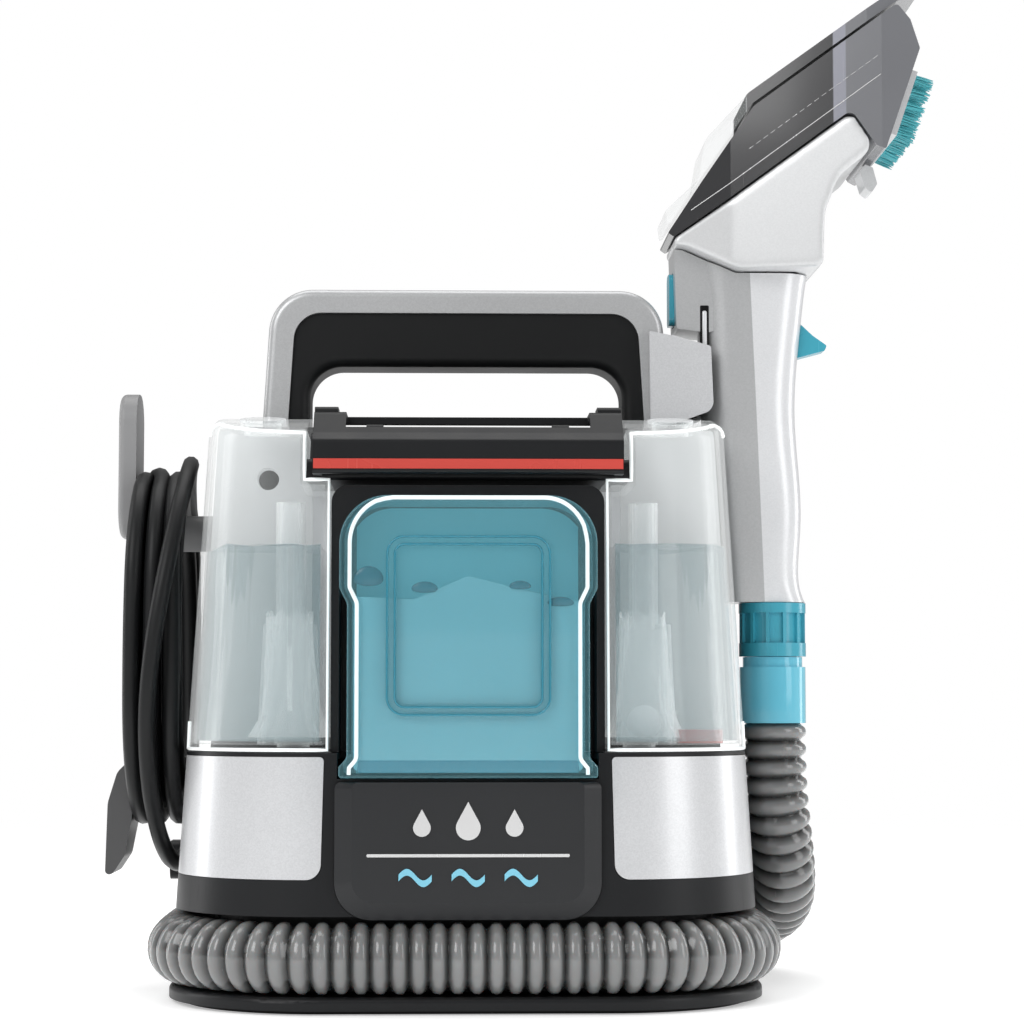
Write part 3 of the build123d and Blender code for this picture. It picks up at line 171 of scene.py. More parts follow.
class ShaderGroups:
    """The effects that several finishes share."""

    def __init__(self) -> None:
        """Builds every group once."""
        self.skin = self.moulded_skin()
        self.marks = self.handling_marks()
        self.dust = self.settled_dust()
        self.flake = self.paint_flake()

    @staticmethod
    def moulded_skin() -> NodeTree:
        """Fine moulded texture with slow changes of colour."""
        make = GroupMaker(
            "moulded_skin",
            [("Vector", "NodeSocketVector", 0), ("Colour", "NodeSocketColor", 0),
             ("Scale", "NodeSocketFloat", 900), ("Mottle", "NodeSocketFloat", 0.06)],
            [("Colour", "NodeSocketColor"), ("Height", "NodeSocketFloat")])
        ins = make.inward.outputs
        cloud = make.node("ShaderNodeTexNoise", {"Vector": ins["Vector"], "Scale": 14.0, "Detail": 2.0})
        fine = make.node("ShaderNodeTexNoise", {"Vector": ins["Vector"], "Scale": ins["Scale"], "Detail": 1.0})
        make.give("Colour", make.tinted(cloud.outputs["Fac"], 0.3, 0.7, "Mottle"))
        make.give("Height", fine.outputs["Fac"])
        return make.tree

    @staticmethod
    def handling_marks() -> NodeTree:
        """Smudges and hair scratches that change how rough a surface is."""
        make = GroupMaker(
            "handling_marks",
            [("Vector", "NodeSocketVector", 0), ("Roughness", "NodeSocketFloat", 0.4),
             ("Spread", "NodeSocketFloat", 0.08)],
            [("Roughness", "NodeSocketFloat"), ("Height", "NodeSocketFloat")])
        ins = make.inward.outputs
        smudge = make.node("ShaderNodeTexNoise", {"Vector": ins["Vector"], "Scale": 22.0, "Detail": 3.0,
                                                  "Distortion": 0.6})
        stretched = make.node("ShaderNodeVectorMath", {0: ins["Vector"], 1: (900.0, 900.0, 14.0)},
                              operation="MULTIPLY")
        hair = make.node("ShaderNodeTexNoise", {"Vector": stretched.outputs[0], "Scale": 1.0, "Detail": 1.0})
        line = make.node("ShaderNodeMapRange", {"Value": hair.outputs["Fac"], "From Min": 0.66,
                                                "From Max": 0.8})
        mixed = make.node("ShaderNodeMath", {0: smudge.outputs["Fac"], 1: -0.5}, operation="ADD")
        scaled = make.node("ShaderNodeMath", {0: mixed.outputs[0], 1: ins["Spread"]}, operation="MULTIPLY")
        scratch = make.node("ShaderNodeMath", {0: line.outputs[0], 1: ins["Spread"]}, operation="MULTIPLY")
        total = make.node("ShaderNodeMath", {0: scaled.outputs[0], 1: scratch.outputs[0]}, operation="ADD")
        rough = make.node("ShaderNodeMath", {0: ins["Roughness"], 1: total.outputs[0]}, operation="ADD",
                          use_clamp=True)
        make.give("Roughness", rough.outputs[0])
        make.give("Height", line.outputs[0])
        return make.tree

    @staticmethod
    def settled_dust() -> NodeTree:
        """A pale film on what faces up, in patches."""
        make = GroupMaker(
            "settled_dust",
            [("Vector", "NodeSocketVector", 0), ("Colour", "NodeSocketColor", 0),
             ("Amount", "NodeSocketFloat", 0.05)],
            [("Colour", "NodeSocketColor")])
        ins = make.inward.outputs
        normal = make.node("ShaderNodeNewGeometry", {})
        up = make.node("ShaderNodeSeparateXYZ", {0: normal.outputs["Normal"]})
        facing = make.node("ShaderNodeMapRange", {"Value": up.outputs["Z"], "From Min": 0.4, "From Max": 1.0})
        cloud = make.node("ShaderNodeTexNoise", {"Vector": ins["Vector"], "Scale": 60.0, "Detail": 2.0})
        patch = make.node("ShaderNodeMapRange", {"Value": cloud.outputs["Fac"], "From Min": 0.35,
                                                 "From Max": 0.75})
        both = make.node("ShaderNodeMath", {0: facing.outputs[0], 1: patch.outputs[0]}, operation="MULTIPLY")
        mask = make.node("ShaderNodeMath", {0: both.outputs[0], 1: ins["Amount"]}, operation="MULTIPLY",
                         use_clamp=True)
        dusty = make.node("ShaderNodeMix", {"Factor": mask.outputs[0], "A": ins["Colour"],
                                            "B": linear("#b9b4aa")}, data_type="RGBA")
        make.give("Colour", dusty.outputs["Result"])
        return make.tree

    @staticmethod
    def paint_flake() -> NodeTree:
        """The sparkle of metal flake under a painted skin."""
        make = GroupMaker(
            "paint_flake",
            [("Vector", "NodeSocketVector", 0), ("Colour", "NodeSocketColor", 0),
             ("Amount", "NodeSocketFloat", 0.1)],
            [("Colour", "NodeSocketColor"), ("Height", "NodeSocketFloat")])
        ins = make.inward.outputs
        flake = make.node("ShaderNodeTexVoronoi", {"Vector": ins["Vector"], "Scale": 1600.0})
        value = make.node("ShaderNodeSeparateColor", {0: flake.outputs["Color"]})
        make.give("Colour", make.tinted(value.outputs[0], 0.0, 1.0, "Amount"))
        make.give("Height", value.outputs[0])
        return make.tree


# ---- finishes ----------------------------------------------------------------------------------------------
@dataclass(frozen=True)
class Finish:
    """An opaque moulded, painted or metal surface."""

    name: str
    colour: str
    roughness: float = 0.42
    metallic: float = 0.0
    coat: float = 0.0
    grain: float = 900.0
    grain_height: float = 0.00004
    mottle: float = 0.05
    smudge: float = 0.10
    dust: float = 0.05
    flake: float = 0.0
    sheen: float = 0.0
    # glow is painted light: the surface gives off its own colour though it is no lamp
    glow: float = 0.0
    shine: float = 0.5


@dataclass(frozen=True)
class ClearFinish:
    """A see-through plastic or liquid, denser towards its edges, where its colour turns to the edge colour:
    painted reflection where that is white, painted shade where it is darker.
    """

    name: str
    colour: str
    face_alpha: float
    edge_alpha: float
    roughness: float = 0.06
    blend: float = 0.5
    mottle: float = 0.03
    # glow is painted light: the surface gives off its own colour though it is no lamp
    glow: float = 0.0
    edge_colour: str = "#ffffff"


@dataclass(frozen=True)
class RibbedFinish:
    """The smoky plastic of the ribbed hose, with the hose's grey on its crests and painted shade darkening its
    valleys.
    """

    name: str
    crest: str
    valley_shade: str
    roughness: float


@dataclass(frozen=True)
class SmokedFinish:
    """The hood's smoked plastic: dark over the neck, paler past a bright band near the mouth."""

    name: str
    dark: str
    band: str
    pale: str
    band_from: float
    band_to: float
    roughness: float = 0.2
    clear_to: float | None = None
    clear: str = "#f4f8f8"
    clear_alpha: float = 0.16


AnyFinish = Finish | ClearFinish | RibbedFinish | SmokedFinish


class Paintbox:
    """Makes each finish's material once."""

    def __init__(self) -> None:
        """Builds the shared shader groups."""
        self.groups = ShaderGroups()
        self.made: dict[str, Material] = {}

    def of(self, finish: AnyFinish) -> Material:
        """The material of a finish.

        Args:
            finish: what the surface is like.

        Returns:
            Its material, made at the first call.
        """
        if finish.name not in self.made:
            makers: dict[type, Callable[..., Material]] = {
                Finish: self.opaque, ClearFinish: self.clear, RibbedFinish: self.ribbed,
                SmokedFinish: self.smoked}
            self.made[finish.name] = makers[type(finish)](finish)
        return self.made[finish.name]

    @staticmethod
    def blank(name: str) -> tuple[Material, NodeTree, Node]:
        """A material with only its main shader.

        Args:
            name: the material's name.

        Returns:
            The material, its tree and its shader node.
        """
        material = bpy.data.materials.new(name)
        material.use_nodes = True
        tree = material.node_tree
        return material, tree, tree.nodes["Principled BSDF"]

    @staticmethod
    def group(tree: NodeTree, group: NodeTree, links: dict[str | int, NodeSocket | float]) -> Node:
        """Places a shared group in a material, with what its inputs take."""
        return add_node(tree, "ShaderNodeGroup", links, node_tree=group)

    def dress(self, tree: NodeTree, shader: Node, place: NodeSocket, colour: NodeSocket, height: NodeSocket,
              roughness: float, spread: float, relief: float, depth: float) -> None:
        """Joins a colour, handling marks and a fine relief to a shader.

        Args:
            tree: the material's tree.
            shader: its main shader.
            place: the coordinates.
            colour: the base colour.
            height: the relief's height.
            roughness: the roughness before the marks.
            spread: how far the marks change it.
            relief: the relief's strength.
            depth: the relief's depth in metres.
        """
        marks = self.group(tree, self.groups.marks, {"Vector": place, "Roughness": roughness, "Spread": spread})
        bump = add_node(tree, "ShaderNodeBump", {"Height": height, "Strength": relief, "Distance": depth})
        tree.links.new(colour, shader.inputs["Base Color"])
        tree.links.new(marks.outputs["Roughness"], shader.inputs["Roughness"])
        tree.links.new(bump.outputs["Normal"], shader.inputs["Normal"])

    @staticmethod
    def hold(shader: Node, values: dict[str, float]) -> None:
        """Sets the shader's plain values."""
        for key, value in values.items():
            shader.inputs[key].default_value = value

    def opaque(self, finish: Finish) -> Material:
        """Builds an opaque material.

        Args:
            finish: its values.

        Returns:
            The material.
        """
        material, tree, shader = self.blank(finish.name)
        place = add_node(tree, "ShaderNodeTexCoord", {}).outputs["Object"]
        skin = self.group(tree, self.groups.skin, {"Vector": place, "Colour": linear(finish.colour),
                                                   "Scale": finish.grain, "Mottle": finish.mottle})
        colour = skin.outputs["Colour"]
        height = skin.outputs["Height"]
        if finish.flake:
            flake = self.group(tree, self.groups.flake, {"Vector": place, "Colour": colour,
                                                         "Amount": finish.flake})
            colour = flake.outputs["Colour"]
        dust = self.group(tree, self.groups.dust, {"Vector": place, "Colour": colour, "Amount": finish.dust})
        self.dress(tree, shader, place, dust.outputs["Colour"], height, finish.roughness, finish.smudge, 0.35,
                   finish.grain_height)
        # the emission from glow is painted light
        self.hold(shader, {"Metallic": finish.metallic, "Coat Weight": finish.coat, "Coat Roughness": 0.12,
                           "Sheen Weight": finish.sheen, "Specular IOR Level": finish.shine,
                           "Emission Color": linear(finish.colour), "Emission Strength": finish.glow})
        return material

    def clear(self, finish: ClearFinish) -> Material:
        """Builds a see-through material.

        Args:
            finish: its values.

        Returns:
            The material.
        """
        material, tree, shader = self.blank(finish.name)
        place = add_node(tree, "ShaderNodeTexCoord", {}).outputs["Object"]
        skin = self.group(tree, self.groups.skin, {"Vector": place, "Colour": linear(finish.colour),
                                                   "Scale": 260.0, "Mottle": finish.mottle})
        # towards grazing angles the colour turns to the edge colour: painted reflection when white, painted shade
        # when darker
        edge = add_node(tree, "ShaderNodeLayerWeight", {"Blend": finish.blend})
        edge_shading = add_node(tree, "ShaderNodeMix", {"Factor": edge.outputs["Facing"], "A": skin.outputs["Colour"],
                                                "B": linear(finish.edge_colour)}, data_type="RGBA")
        alpha = add_node(tree, "ShaderNodeMapRange", {"Value": edge.outputs["Facing"],
                                                      "To Min": finish.face_alpha,
                                                      "To Max": finish.edge_alpha})
        self.dress(tree, shader, place, edge_shading.outputs["Result"], skin.outputs["Height"], finish.roughness, 0.05,
                   0.1, 0.00002)
        tree.links.new(alpha.outputs[0], shader.inputs["Alpha"])
        self.hold(shader, {"IOR": 1.49, "Coat Weight": 0.3, "Coat Roughness": 0.03})
        # the emission from glow is painted light
        if finish.glow:
            self.hold(shader, {"Emission Color": linear(finish.colour), "Emission Strength": finish.glow})
        return material

    def smoked(self, finish: SmokedFinish) -> Material:
        """Builds the hood's material, whose colour changes along the machine's width.

        Args:
            finish: its values.

        Returns:
            The material.
        """
        material, tree, shader = self.blank(finish.name)
        place = add_node(tree, "ShaderNodeTexCoord", {}).outputs["Object"]
        across = add_node(tree, "ShaderNodeSeparateXYZ", {0: place}).outputs["X"]
        soft = 0.0006
        past = add_node(tree, "ShaderNodeMapRange", {"Value": across, "From Min": finish.band_from,
                                                     "From Max": finish.band_from + soft})
        beyond = add_node(tree, "ShaderNodeMapRange", {"Value": across, "From Min": finish.band_to,
                                                       "From Max": finish.band_to + soft})
        banded = add_node(tree, "ShaderNodeMix", {"Factor": past.outputs[0], "A": linear(finish.dark),
                                                  "B": linear(finish.band)}, data_type="RGBA")
        base = add_node(tree, "ShaderNodeMix", {"Factor": beyond.outputs[0], "A": banded.outputs["Result"],
                                                "B": linear(finish.pale)}, data_type="RGBA")
        if finish.clear_to is not None:
            dark = add_node(tree, "ShaderNodeMapRange", {"Value": across, "From Min": finish.clear_to,
                                                         "From Max": finish.clear_to + soft})
            base = add_node(tree, "ShaderNodeMix", {"Factor": dark.outputs[0], "A": linear(finish.clear),
                                                    "B": base.outputs["Result"]}, data_type="RGBA")
            alpha = add_node(tree, "ShaderNodeMapRange", {"Value": dark.outputs[0],
                                                          "To Min": finish.clear_alpha, "To Max": 1.0})
            tree.links.new(alpha.outputs[0], shader.inputs["Alpha"])
        skin = self.group(tree, self.groups.skin, {"Vector": place, "Colour": base.outputs["Result"],
                                                   "Scale": 900.0, "Mottle": 0.04})
        self.dress(tree, shader, place, skin.outputs["Colour"], skin.outputs["Height"], finish.roughness, 0.08,
                   0.1, 0.00001)
        self.hold(shader, {"Coat Weight": 0.6, "Coat Roughness": 0.08})
        return material

    def ribbed(self, finish: RibbedFinish) -> Material:
        """Builds the hose's material, which reads how deep each point lies between the ribs to paint shade into
        the valleys.

        Args:
            finish: its values.

        Returns:
            The material.
        """
        material, tree, shader = self.blank(finish.name)
        place = add_node(tree, "ShaderNodeTexCoord", {}).outputs["Object"]
        depth = add_node(tree, "ShaderNodeAttribute", {}, attribute_name="crest")
        # painted shade: the colour darkens from the crest grey towards the valleys
        base = add_node(tree, "ShaderNodeMix", {"Factor": depth.outputs["Fac"], "A": linear(finish.valley_shade),
                                                "B": linear(finish.crest)}, data_type="RGBA")
        skin = self.group(tree, self.groups.skin, {"Vector": place, "Colour": base.outputs["Result"],
                                                   "Scale": 700.0, "Mottle": 0.12})
        dust = self.group(tree, self.groups.dust, {"Vector": place, "Colour": skin.outputs["Colour"],
                                                   "Amount": 0.12})
        self.dress(tree, shader, place, dust.outputs["Colour"], skin.outputs["Height"], finish.roughness, 0.12,
                   0.2, 0.00004)
        self.hold(shader, {"Coat Weight": 0.5, "Coat Roughness": 0.15, "Subsurface Weight": 0.15,
                           "Subsurface Scale": 0.004})
        return material


CHARCOAL = Finish("charcoal_plastic", "#17181a", roughness=0.38, grain=1100.0, grain_height=0.00005, dust=0.03,
                  shine=0.26)
BADGE = Finish("badge_plastic", "#242527", roughness=0.30, coat=0.05, dust=0.01, shine=0.3)
PANEL_SILVER = Finish("panel_silver", "#d3d4d6", roughness=0.32, metallic=0.35, coat=0.25, flake=0.05,
                      mottle=0.02, grain_height=0.00001, dust=0.02)
HANDLE_SILVER = Finish("handle_silver", "#b9babb", roughness=0.36, metallic=0.45, coat=0.2, flake=0.05,
                       mottle=0.02, grain_height=0.00001, dust=0.02)
# PALE's glow is painted light that brightens the wall behind the tanks, the button bezel and the float
PALE = Finish("pale_plastic", "#e6e8ea", roughness=0.45, mottle=0.02, glow=0.18)
BUTTON = Finish("button_black", "#0b0b0c", roughness=0.35, dust=0.02, shine=0.2)
RUBBER = Finish("rubber_black", "#141415", roughness=0.6, grain=1500.0, grain_height=0.00008, dust=0.06,
                shine=0.25)
GRIP = Finish("grip_rubber", "#131415", roughness=0.46, grain=1800.0, grain_height=0.00007, dust=0.02,
              shine=0.22)
CORD = Finish("cord_rubber", "#151617", roughness=0.42, grain=1400.0, grain_height=0.00005, dust=0.03,
              shine=0.25)
HOOK_GREY = Finish("hook_grey", "#8b8b8c", roughness=0.42)
DARK_HOOK = Finish("dark_hook", "#4b4b4c", roughness=0.42)
BADGE_SILVER = Finish("badge_silver", "#dadada", roughness=0.25, metallic=0.7, grain_height=0.00001)
BADGE_BLUE = Finish("badge_blue", "#7cc3da", roughness=0.3, grain_height=0.00001)
TEAL = Finish("teal_plastic", "#3d9fb4", roughness=0.26, coat=0.3, grain_height=0.00001)
RED = Finish("red_plastic", "#c9443a", roughness=0.28, coat=0.3, grain_height=0.00001)
WAND_GREY = Finish("wand_grey", "#b4b5b6", roughness=0.33, metallic=0.3, coat=0.25, flake=0.04, mottle=0.02,
                   grain_height=0.00001, dust=0.01)
WAND_WHITE = Finish("wand_white", "#dcdddf", roughness=0.28, metallic=0.15, coat=0.3, smudge=0.03, flake=0.03,
                    mottle=0.02, grain_height=0.00001, dust=0.01)
HEAD_GREY = Finish("head_grey", "#d3d4d5", roughness=0.3, metallic=0.2, coat=0.35, flake=0.03, mottle=0.02,
                   grain_height=0.00001, dust=0.01)
COVER = SmokedFinish("cover_smoke", "#2d2d2f", "#8b8c96", "#6f7074", band_from=0.1815, band_to=0.1876,
                     clear_to=0.1395)
SHROUD = SmokedFinish("shroud_smoke", "#2d2d2f", "#8b8c96", "#6f7074", band_from=0.1815, band_to=0.1876)
STEEL = Finish("steel", "#b8b8b8", roughness=0.3, metallic=1.0, grain_height=0.00001)
WORKS = Finish("works_white", "#c9c9c4", roughness=0.5)
BOARD = Finish("board_green", "#1f5a35", roughness=0.5)
# The glow of the clear tanks, standpipes, white beads, frosted sheets, foam, teal shell, teal backing and cuff is
# painted light.
CLEAR = ClearFinish("clear_plastic", "#f4f8f8", face_alpha=0.02, edge_alpha=0.58, blend=0.25, glow=0.15)
PIPE_CLEAR = ClearFinish("pipe_clear", "#eef4f5", face_alpha=0.12, edge_alpha=0.72, blend=0.4, glow=0.15)
# The next two finishes colour white beads that are painted highlights along the tanks' edges.
RIM_HIGHLIGHT = ClearFinish("rim_highlight_clear", "#f6fbfb", face_alpha=0.80, edge_alpha=0.95, blend=0.4, glow=0.25)
TEAL_RIM_HIGHLIGHT = ClearFinish("teal_rim", "#e6f6f8", face_alpha=0.9, edge_alpha=0.97, blend=0.4, glow=0.2)
BUBBLE = ClearFinish("teal_bubble", "#2a6c80", face_alpha=0.55, edge_alpha=0.9, blend=0.4,
                     edge_colour="#174857")
FROSTED = ClearFinish("frosted_wall", "#d9dcdd", face_alpha=0.80, edge_alpha=0.92, blend=0.4, roughness=0.4,
                      glow=0.10)
FOAM = ClearFinish("foam", "#f6fafa", face_alpha=0.10, edge_alpha=0.75, blend=0.3, glow=0.3)
BRISTLE = Finish("bristle_teal", "#4fb4bd", roughness=0.4, mottle=0.35, grain_height=0.00001, dust=0.0)
WATER = ClearFinish("tank_water", "#76949a", face_alpha=0.40, edge_alpha=0.62, blend=0.3, edge_colour="#7f9a9d")
TEAL_SHELL = ClearFinish("teal_clear", "#8fd0dc", face_alpha=0.10, edge_alpha=0.92, blend=0.22, glow=0.05,
                         edge_colour="#1f6476")
TEAL_LIQUID = ClearFinish("teal_liquid", "#7cc3d3", face_alpha=0.80, edge_alpha=0.95, blend=0.3,
                          edge_colour="#4a9fb5")
TEAL_BACKING = Finish("teal_backing", "#5fb3c4", roughness=0.4, mottle=0.06, grain_height=0.00001, dust=0.0,
                      glow=0.10)
TEAL_BOTTOM_BAND = ClearFinish("teal_bottom_band", "#3f8ea8", face_alpha=0.75, edge_alpha=0.95, blend=0.3,
                        edge_colour="#2b7087")
TEAL_LINE = ClearFinish("teal_line", "#3a93a8", face_alpha=0.65, edge_alpha=0.9, blend=0.3,
                        edge_colour="#2b7b90")
CUFF_TEAL = ClearFinish("cuff_teal", "#66bfd6", face_alpha=0.85, edge_alpha=0.97, blend=0.35, glow=0.08,
                        edge_colour="#8fd0df")
# the hose's valley colour is painted shade in its grooves
HOSE = RibbedFinish("hose_smoke", "#7e7f7f", "#222222", 0.18)

CAD_FINISHES: dict[str, AnyFinish] = {
    "foot_ring": RUBBER, "base_tray": CHARCOAL, "hose_port": CHARCOAL, "lower_housing": CHARCOAL,
    "side_panel_left": PANEL_SILVER, "side_panel_right": PANEL_SILVER, "badge_panel": BADGE,
    "badge_marks": BADGE_SILVER, "badge_waves": BADGE_BLUE, "exhaust_grille": CHARCOAL, "housing_screws": STEEL,
    "tower_shell": CHARCOAL, "tower_front_wall": PALE, "centre_spine": CHARCOAL, "button_bezel": PALE,
    "power_button": BUTTON, "fan_housing": CHARCOAL, "impeller": WORKS, "suction_motor": STEEL,
    "water_pump": WORKS, "control_board": BOARD, "handle_shell": HANDLE_SILVER, "handle_grip": GRIP,
    "wand_cradle": PANEL_SILVER, "cradle_liner": GRIP, "cord_hook_upper": HOOK_GREY,
    "cord_hook_lower": DARK_HOOK,
    "strain_relief": RUBBER, "power_plug": CORD, "recovery_tank": CLEAR, "clean_tank": CLEAR,
    "recovery_standpipe": PIPE_CLEAR, "clean_standpipe": PIPE_CLEAR, "recovery_float": PALE,
    "recovery_filter": RED, "tank_plugs": PIPE_CLEAR, "tank_bridge": CHARCOAL, "latch_rod": STEEL,
    "tank_latch": CHARCOAL, "latch_stripe": RED, "solution_tank": TEAL_SHELL, "solution_cap": TEAL,
    "wand_rear_shell": WAND_GREY, "wand_front_shell": WAND_WHITE, "wand_spigot": CHARCOAL, "wand_collar": TEAL,
    "trigger": TEAL, "trigger_pin": STEEL, "spray_valve": WORKS, "release_button": TEAL, "hose_cuff": CUFF_TEAL,
    "head_body": HEAD_GREY, "head_shroud": SHROUD, "head_cover": COVER, "brush_plate": WAND_WHITE,
    "brush_bristles": TEAL, "spray_nozzle": HEAD_GREY,
}


# ---- shaping by hand ---------------------------------------------------------------------------------------
class Bench:
    """The modelling steps that the pieces share."""

    @staticmethod
    def clear() -> None:
        """Leaves edit mode and selects nothing."""
        if bpy.context.object is not None and bpy.context.object.mode != "OBJECT":
            bpy.ops.object.mode_set(mode="OBJECT")
        bpy.ops.object.select_all(action="DESELECT")

    @staticmethod
    def only(piece: Object) -> None:
        """Selects one piece and makes it active."""
        Bench.clear()
        piece.select_set(True)
        bpy.context.view_layer.objects.active = piece

    @staticmethod
    def named(name: str) -> Object:
        """Names the newest piece and puts its place into its mesh."""
        piece = bpy.context.object
        piece.name = name
        piece.data.name = name
        bpy.ops.object.transform_apply(location=True, rotation=True, scale=True)
        return piece

    @staticmethod
    def block(name: str, low: Point, high: Point) -> Object:
        """A block between two corners, to be shaped further."""
        Bench.clear()
        middle = [(a + b) / 2 for a, b in zip(low, high)]
        size = [b - a for a, b in zip(low, high)]
        bpy.ops.mesh.primitive_cube_add(size=1.0, location=middle, scale=size)
        return Bench.named(name)

    @staticmethod
    def apply(piece: Object, kind: str, **settings: object) -> None:
        """Adds a modifier and applies it.

        Args:
            piece: what it changes.
            kind: the modifier's type.
            settings: its attributes.
        """
        Bench.only(piece)
        modifier = piece.modifiers.new(kind.lower(), kind)
        for key, value in settings.items():
            setattr(modifier, key, value)
        bpy.ops.object.modifier_apply(modifier=modifier.name)

    @staticmethod
    def cut(piece: Object, cutter: Object, operation: str = "DIFFERENCE") -> None:
        """Cuts one piece with another, which goes.

        Args:
            piece: what is cut.
            cutter: the tool.
            operation: how the two are combined.
        """
        Bench.apply(piece, "BOOLEAN", object=cutter, operation=operation, solver="EXACT")
        bpy.data.objects.remove(cutter, do_unlink=True)

    @staticmethod
    def smooth(piece: Object, angle: float = 35.0) -> None:
        """Shades a piece smooth, with sharp edges past an angle in degrees."""
        Bench.only(piece)
        bpy.ops.object.shade_smooth_by_angle(angle=math.radians(angle))

    @staticmethod
    def join(pieces: Sequence[Object], name: str) -> Object:
        """Joins pieces into one.

        Args:
            pieces: what is joined.
            name: the joined piece's name.

        Returns:
            The joined piece.
        """
        Bench.clear()
        for piece in pieces:
            piece.select_set(True)
        bpy.context.view_layer.objects.active = pieces[0]
        bpy.ops.object.join()
        pieces[0].name = name
        pieces[0].data.name = name
        return pieces[0]

    @staticmethod
    def copy_of(node: str, name: str) -> Object:
        """A loose copy of a CAD node with its triangles merged, to be shaped further."""
        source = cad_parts[node]
        piece = bpy.data.objects.new(name, source.data.copy())
        bpy.context.scene.collection.objects.link(piece)
        Bench.only(piece)
        bpy.ops.object.mode_set(mode="EDIT")
        bpy.ops.mesh.select_all(action="SELECT")
        bpy.ops.mesh.remove_doubles(threshold=0.00001)
        bpy.ops.object.mode_set(mode="OBJECT")
        return piece

    @staticmethod
    def pick(piece: Object, wanted: Callable[[Vector, Vector], bool]) -> None:
        """Selects the faces whose middle and normal pass a test, and opens edit mode."""
        Bench.only(piece)
        bpy.ops.object.mode_set(mode="EDIT")
        bpy.ops.mesh.select_mode(type="FACE")
        bpy.ops.mesh.select_all(action="DESELECT")
        bpy.ops.object.mode_set(mode="OBJECT")
        for face in piece.data.polygons:
            face.select = wanted(face.center, face.normal)
        bpy.ops.object.mode_set(mode="EDIT")

    @staticmethod
    def bead(node: str, name: str, wanted: Callable[[Vector, Vector], bool], radius: float,
             drop: Callable[[Vector], bool]) -> Object:
        """A round raised line along the outline of some faces of a CAD node.

        Args:
            node: the CAD node.
            name: the bead's name.
            wanted: which of its faces the line goes round.
            radius: the line's radius.
            drop: which places of the outline are left out.

        Returns:
            The closed bead.
        """
        piece = Bench.copy_of(node, name)
        Bench.pick(piece, lambda middle, normal: not wanted(middle, normal))
        bpy.ops.mesh.delete(type="FACE")
        bpy.ops.mesh.select_mode(type="EDGE")
        bpy.ops.mesh.select_all(action="DESELECT")
        bpy.ops.mesh.select_non_manifold(extend=False, use_wire=False, use_boundary=True, use_multi_face=False,
                                         use_non_contiguous=False, use_verts=False)
        bpy.ops.mesh.select_all(action="INVERT")
        bpy.ops.mesh.delete(type="EDGE")
        bpy.ops.mesh.select_all(action="SELECT")
        bpy.ops.mesh.delete(type="ONLY_FACE")
        bpy.ops.mesh.select_all(action="DESELECT")
        bpy.ops.object.mode_set(mode="OBJECT")
        places = [vertex.co for vertex in piece.data.vertices]
        for edge in piece.data.edges:
            edge.select = drop((places[edge.vertices[0]] + places[edge.vertices[1]]) / 2)
        bpy.ops.object.mode_set(mode="EDIT")
        bpy.ops.mesh.delete(type="EDGE")
        bpy.ops.mesh.select_all(action="SELECT")
        bpy.ops.mesh.remove_doubles(threshold=0.0004)
        bpy.ops.object.mode_set(mode="OBJECT")
        bpy.ops.object.convert(target="CURVE")
        piece = bpy.context.object
        piece.data.bevel_depth = radius
        piece.data.bevel_resolution = 2
        piece.data.use_fill_caps = True
        bpy.ops.object.convert(target="MESH")
        piece = bpy.context.object
        piece.name = name
        piece.data.name = name
        Bench.smooth(piece, 60)
        return piece

    @staticmethod
    def filling(node: str, name: str, wall: float) -> Object:
        """The hull of a CAD node, drawn in by its wall.

        Args:
            node: the CAD node.
            name: the filling's name.
            wall: how far each side is drawn in.

        Returns:
            The closed filling.
        """
        piece = Bench.copy_of(node, name)
        Bench.only(piece)
        bpy.ops.object.mode_set(mode="EDIT")
        bpy.ops.mesh.select_all(action="SELECT")
        bpy.ops.mesh.convex_hull()
        bpy.ops.mesh.select_all(action="SELECT")
        bpy.ops.mesh.dissolve_limited(angle_limit=math.radians(1.0))
        low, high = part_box(node)
        shrink = [1 - 2 * wall / (high[axis] - low[axis]) for axis in range(3)]
        bpy.ops.mesh.select_all(action="SELECT")
        bpy.ops.transform.resize(value=shrink, center_override=(low + high) / 2)
        bpy.ops.object.mode_set(mode="OBJECT")
        return piece

    @staticmethod
    def waves(name: str, low: Point, high: Point, height: Callable[[float, float], float],
              cuts: int = 40) -> Object:
        """A tool whose underside is a wavy surface, to cut a liquid's top with.

        Args:
            name: the tool's name.
            low: the lowest corner of its plan, with the surface's level.
            high: the highest corner.
            height: how far the surface rises at a place.
            cuts: how finely the surface is drawn.

        Returns:
            The closed tool.
        """
        Bench.clear()
        middle = ((low[0] + high[0]) / 2, (low[1] + high[1]) / 2, low[2])
        bpy.ops.mesh.primitive_grid_add(x_subdivisions=cuts, y_subdivisions=cuts, size=1.0, location=middle,
                                        scale=(high[0] - low[0], high[1] - low[1], 1.0))
        piece = Bench.named(name)
        for vertex in piece.data.vertices:
            vertex.co.z += height(vertex.co.x, vertex.co.y)
        Bench.only(piece)
        bpy.ops.object.mode_set(mode="EDIT")
        bpy.ops.mesh.select_all(action="SELECT")
        bpy.ops.mesh.extrude_region_move(TRANSFORM_OT_translate={"value": (0, 0, high[2] - low[2])})
        bpy.ops.transform.resize(value=(1, 1, 0), center_override=(middle[0], middle[1], high[2]))
        bpy.ops.mesh.select_all(action="SELECT")
        bpy.ops.mesh.normals_make_consistent(inside=False)
        bpy.ops.object.mode_set(mode="OBJECT")
        return piece

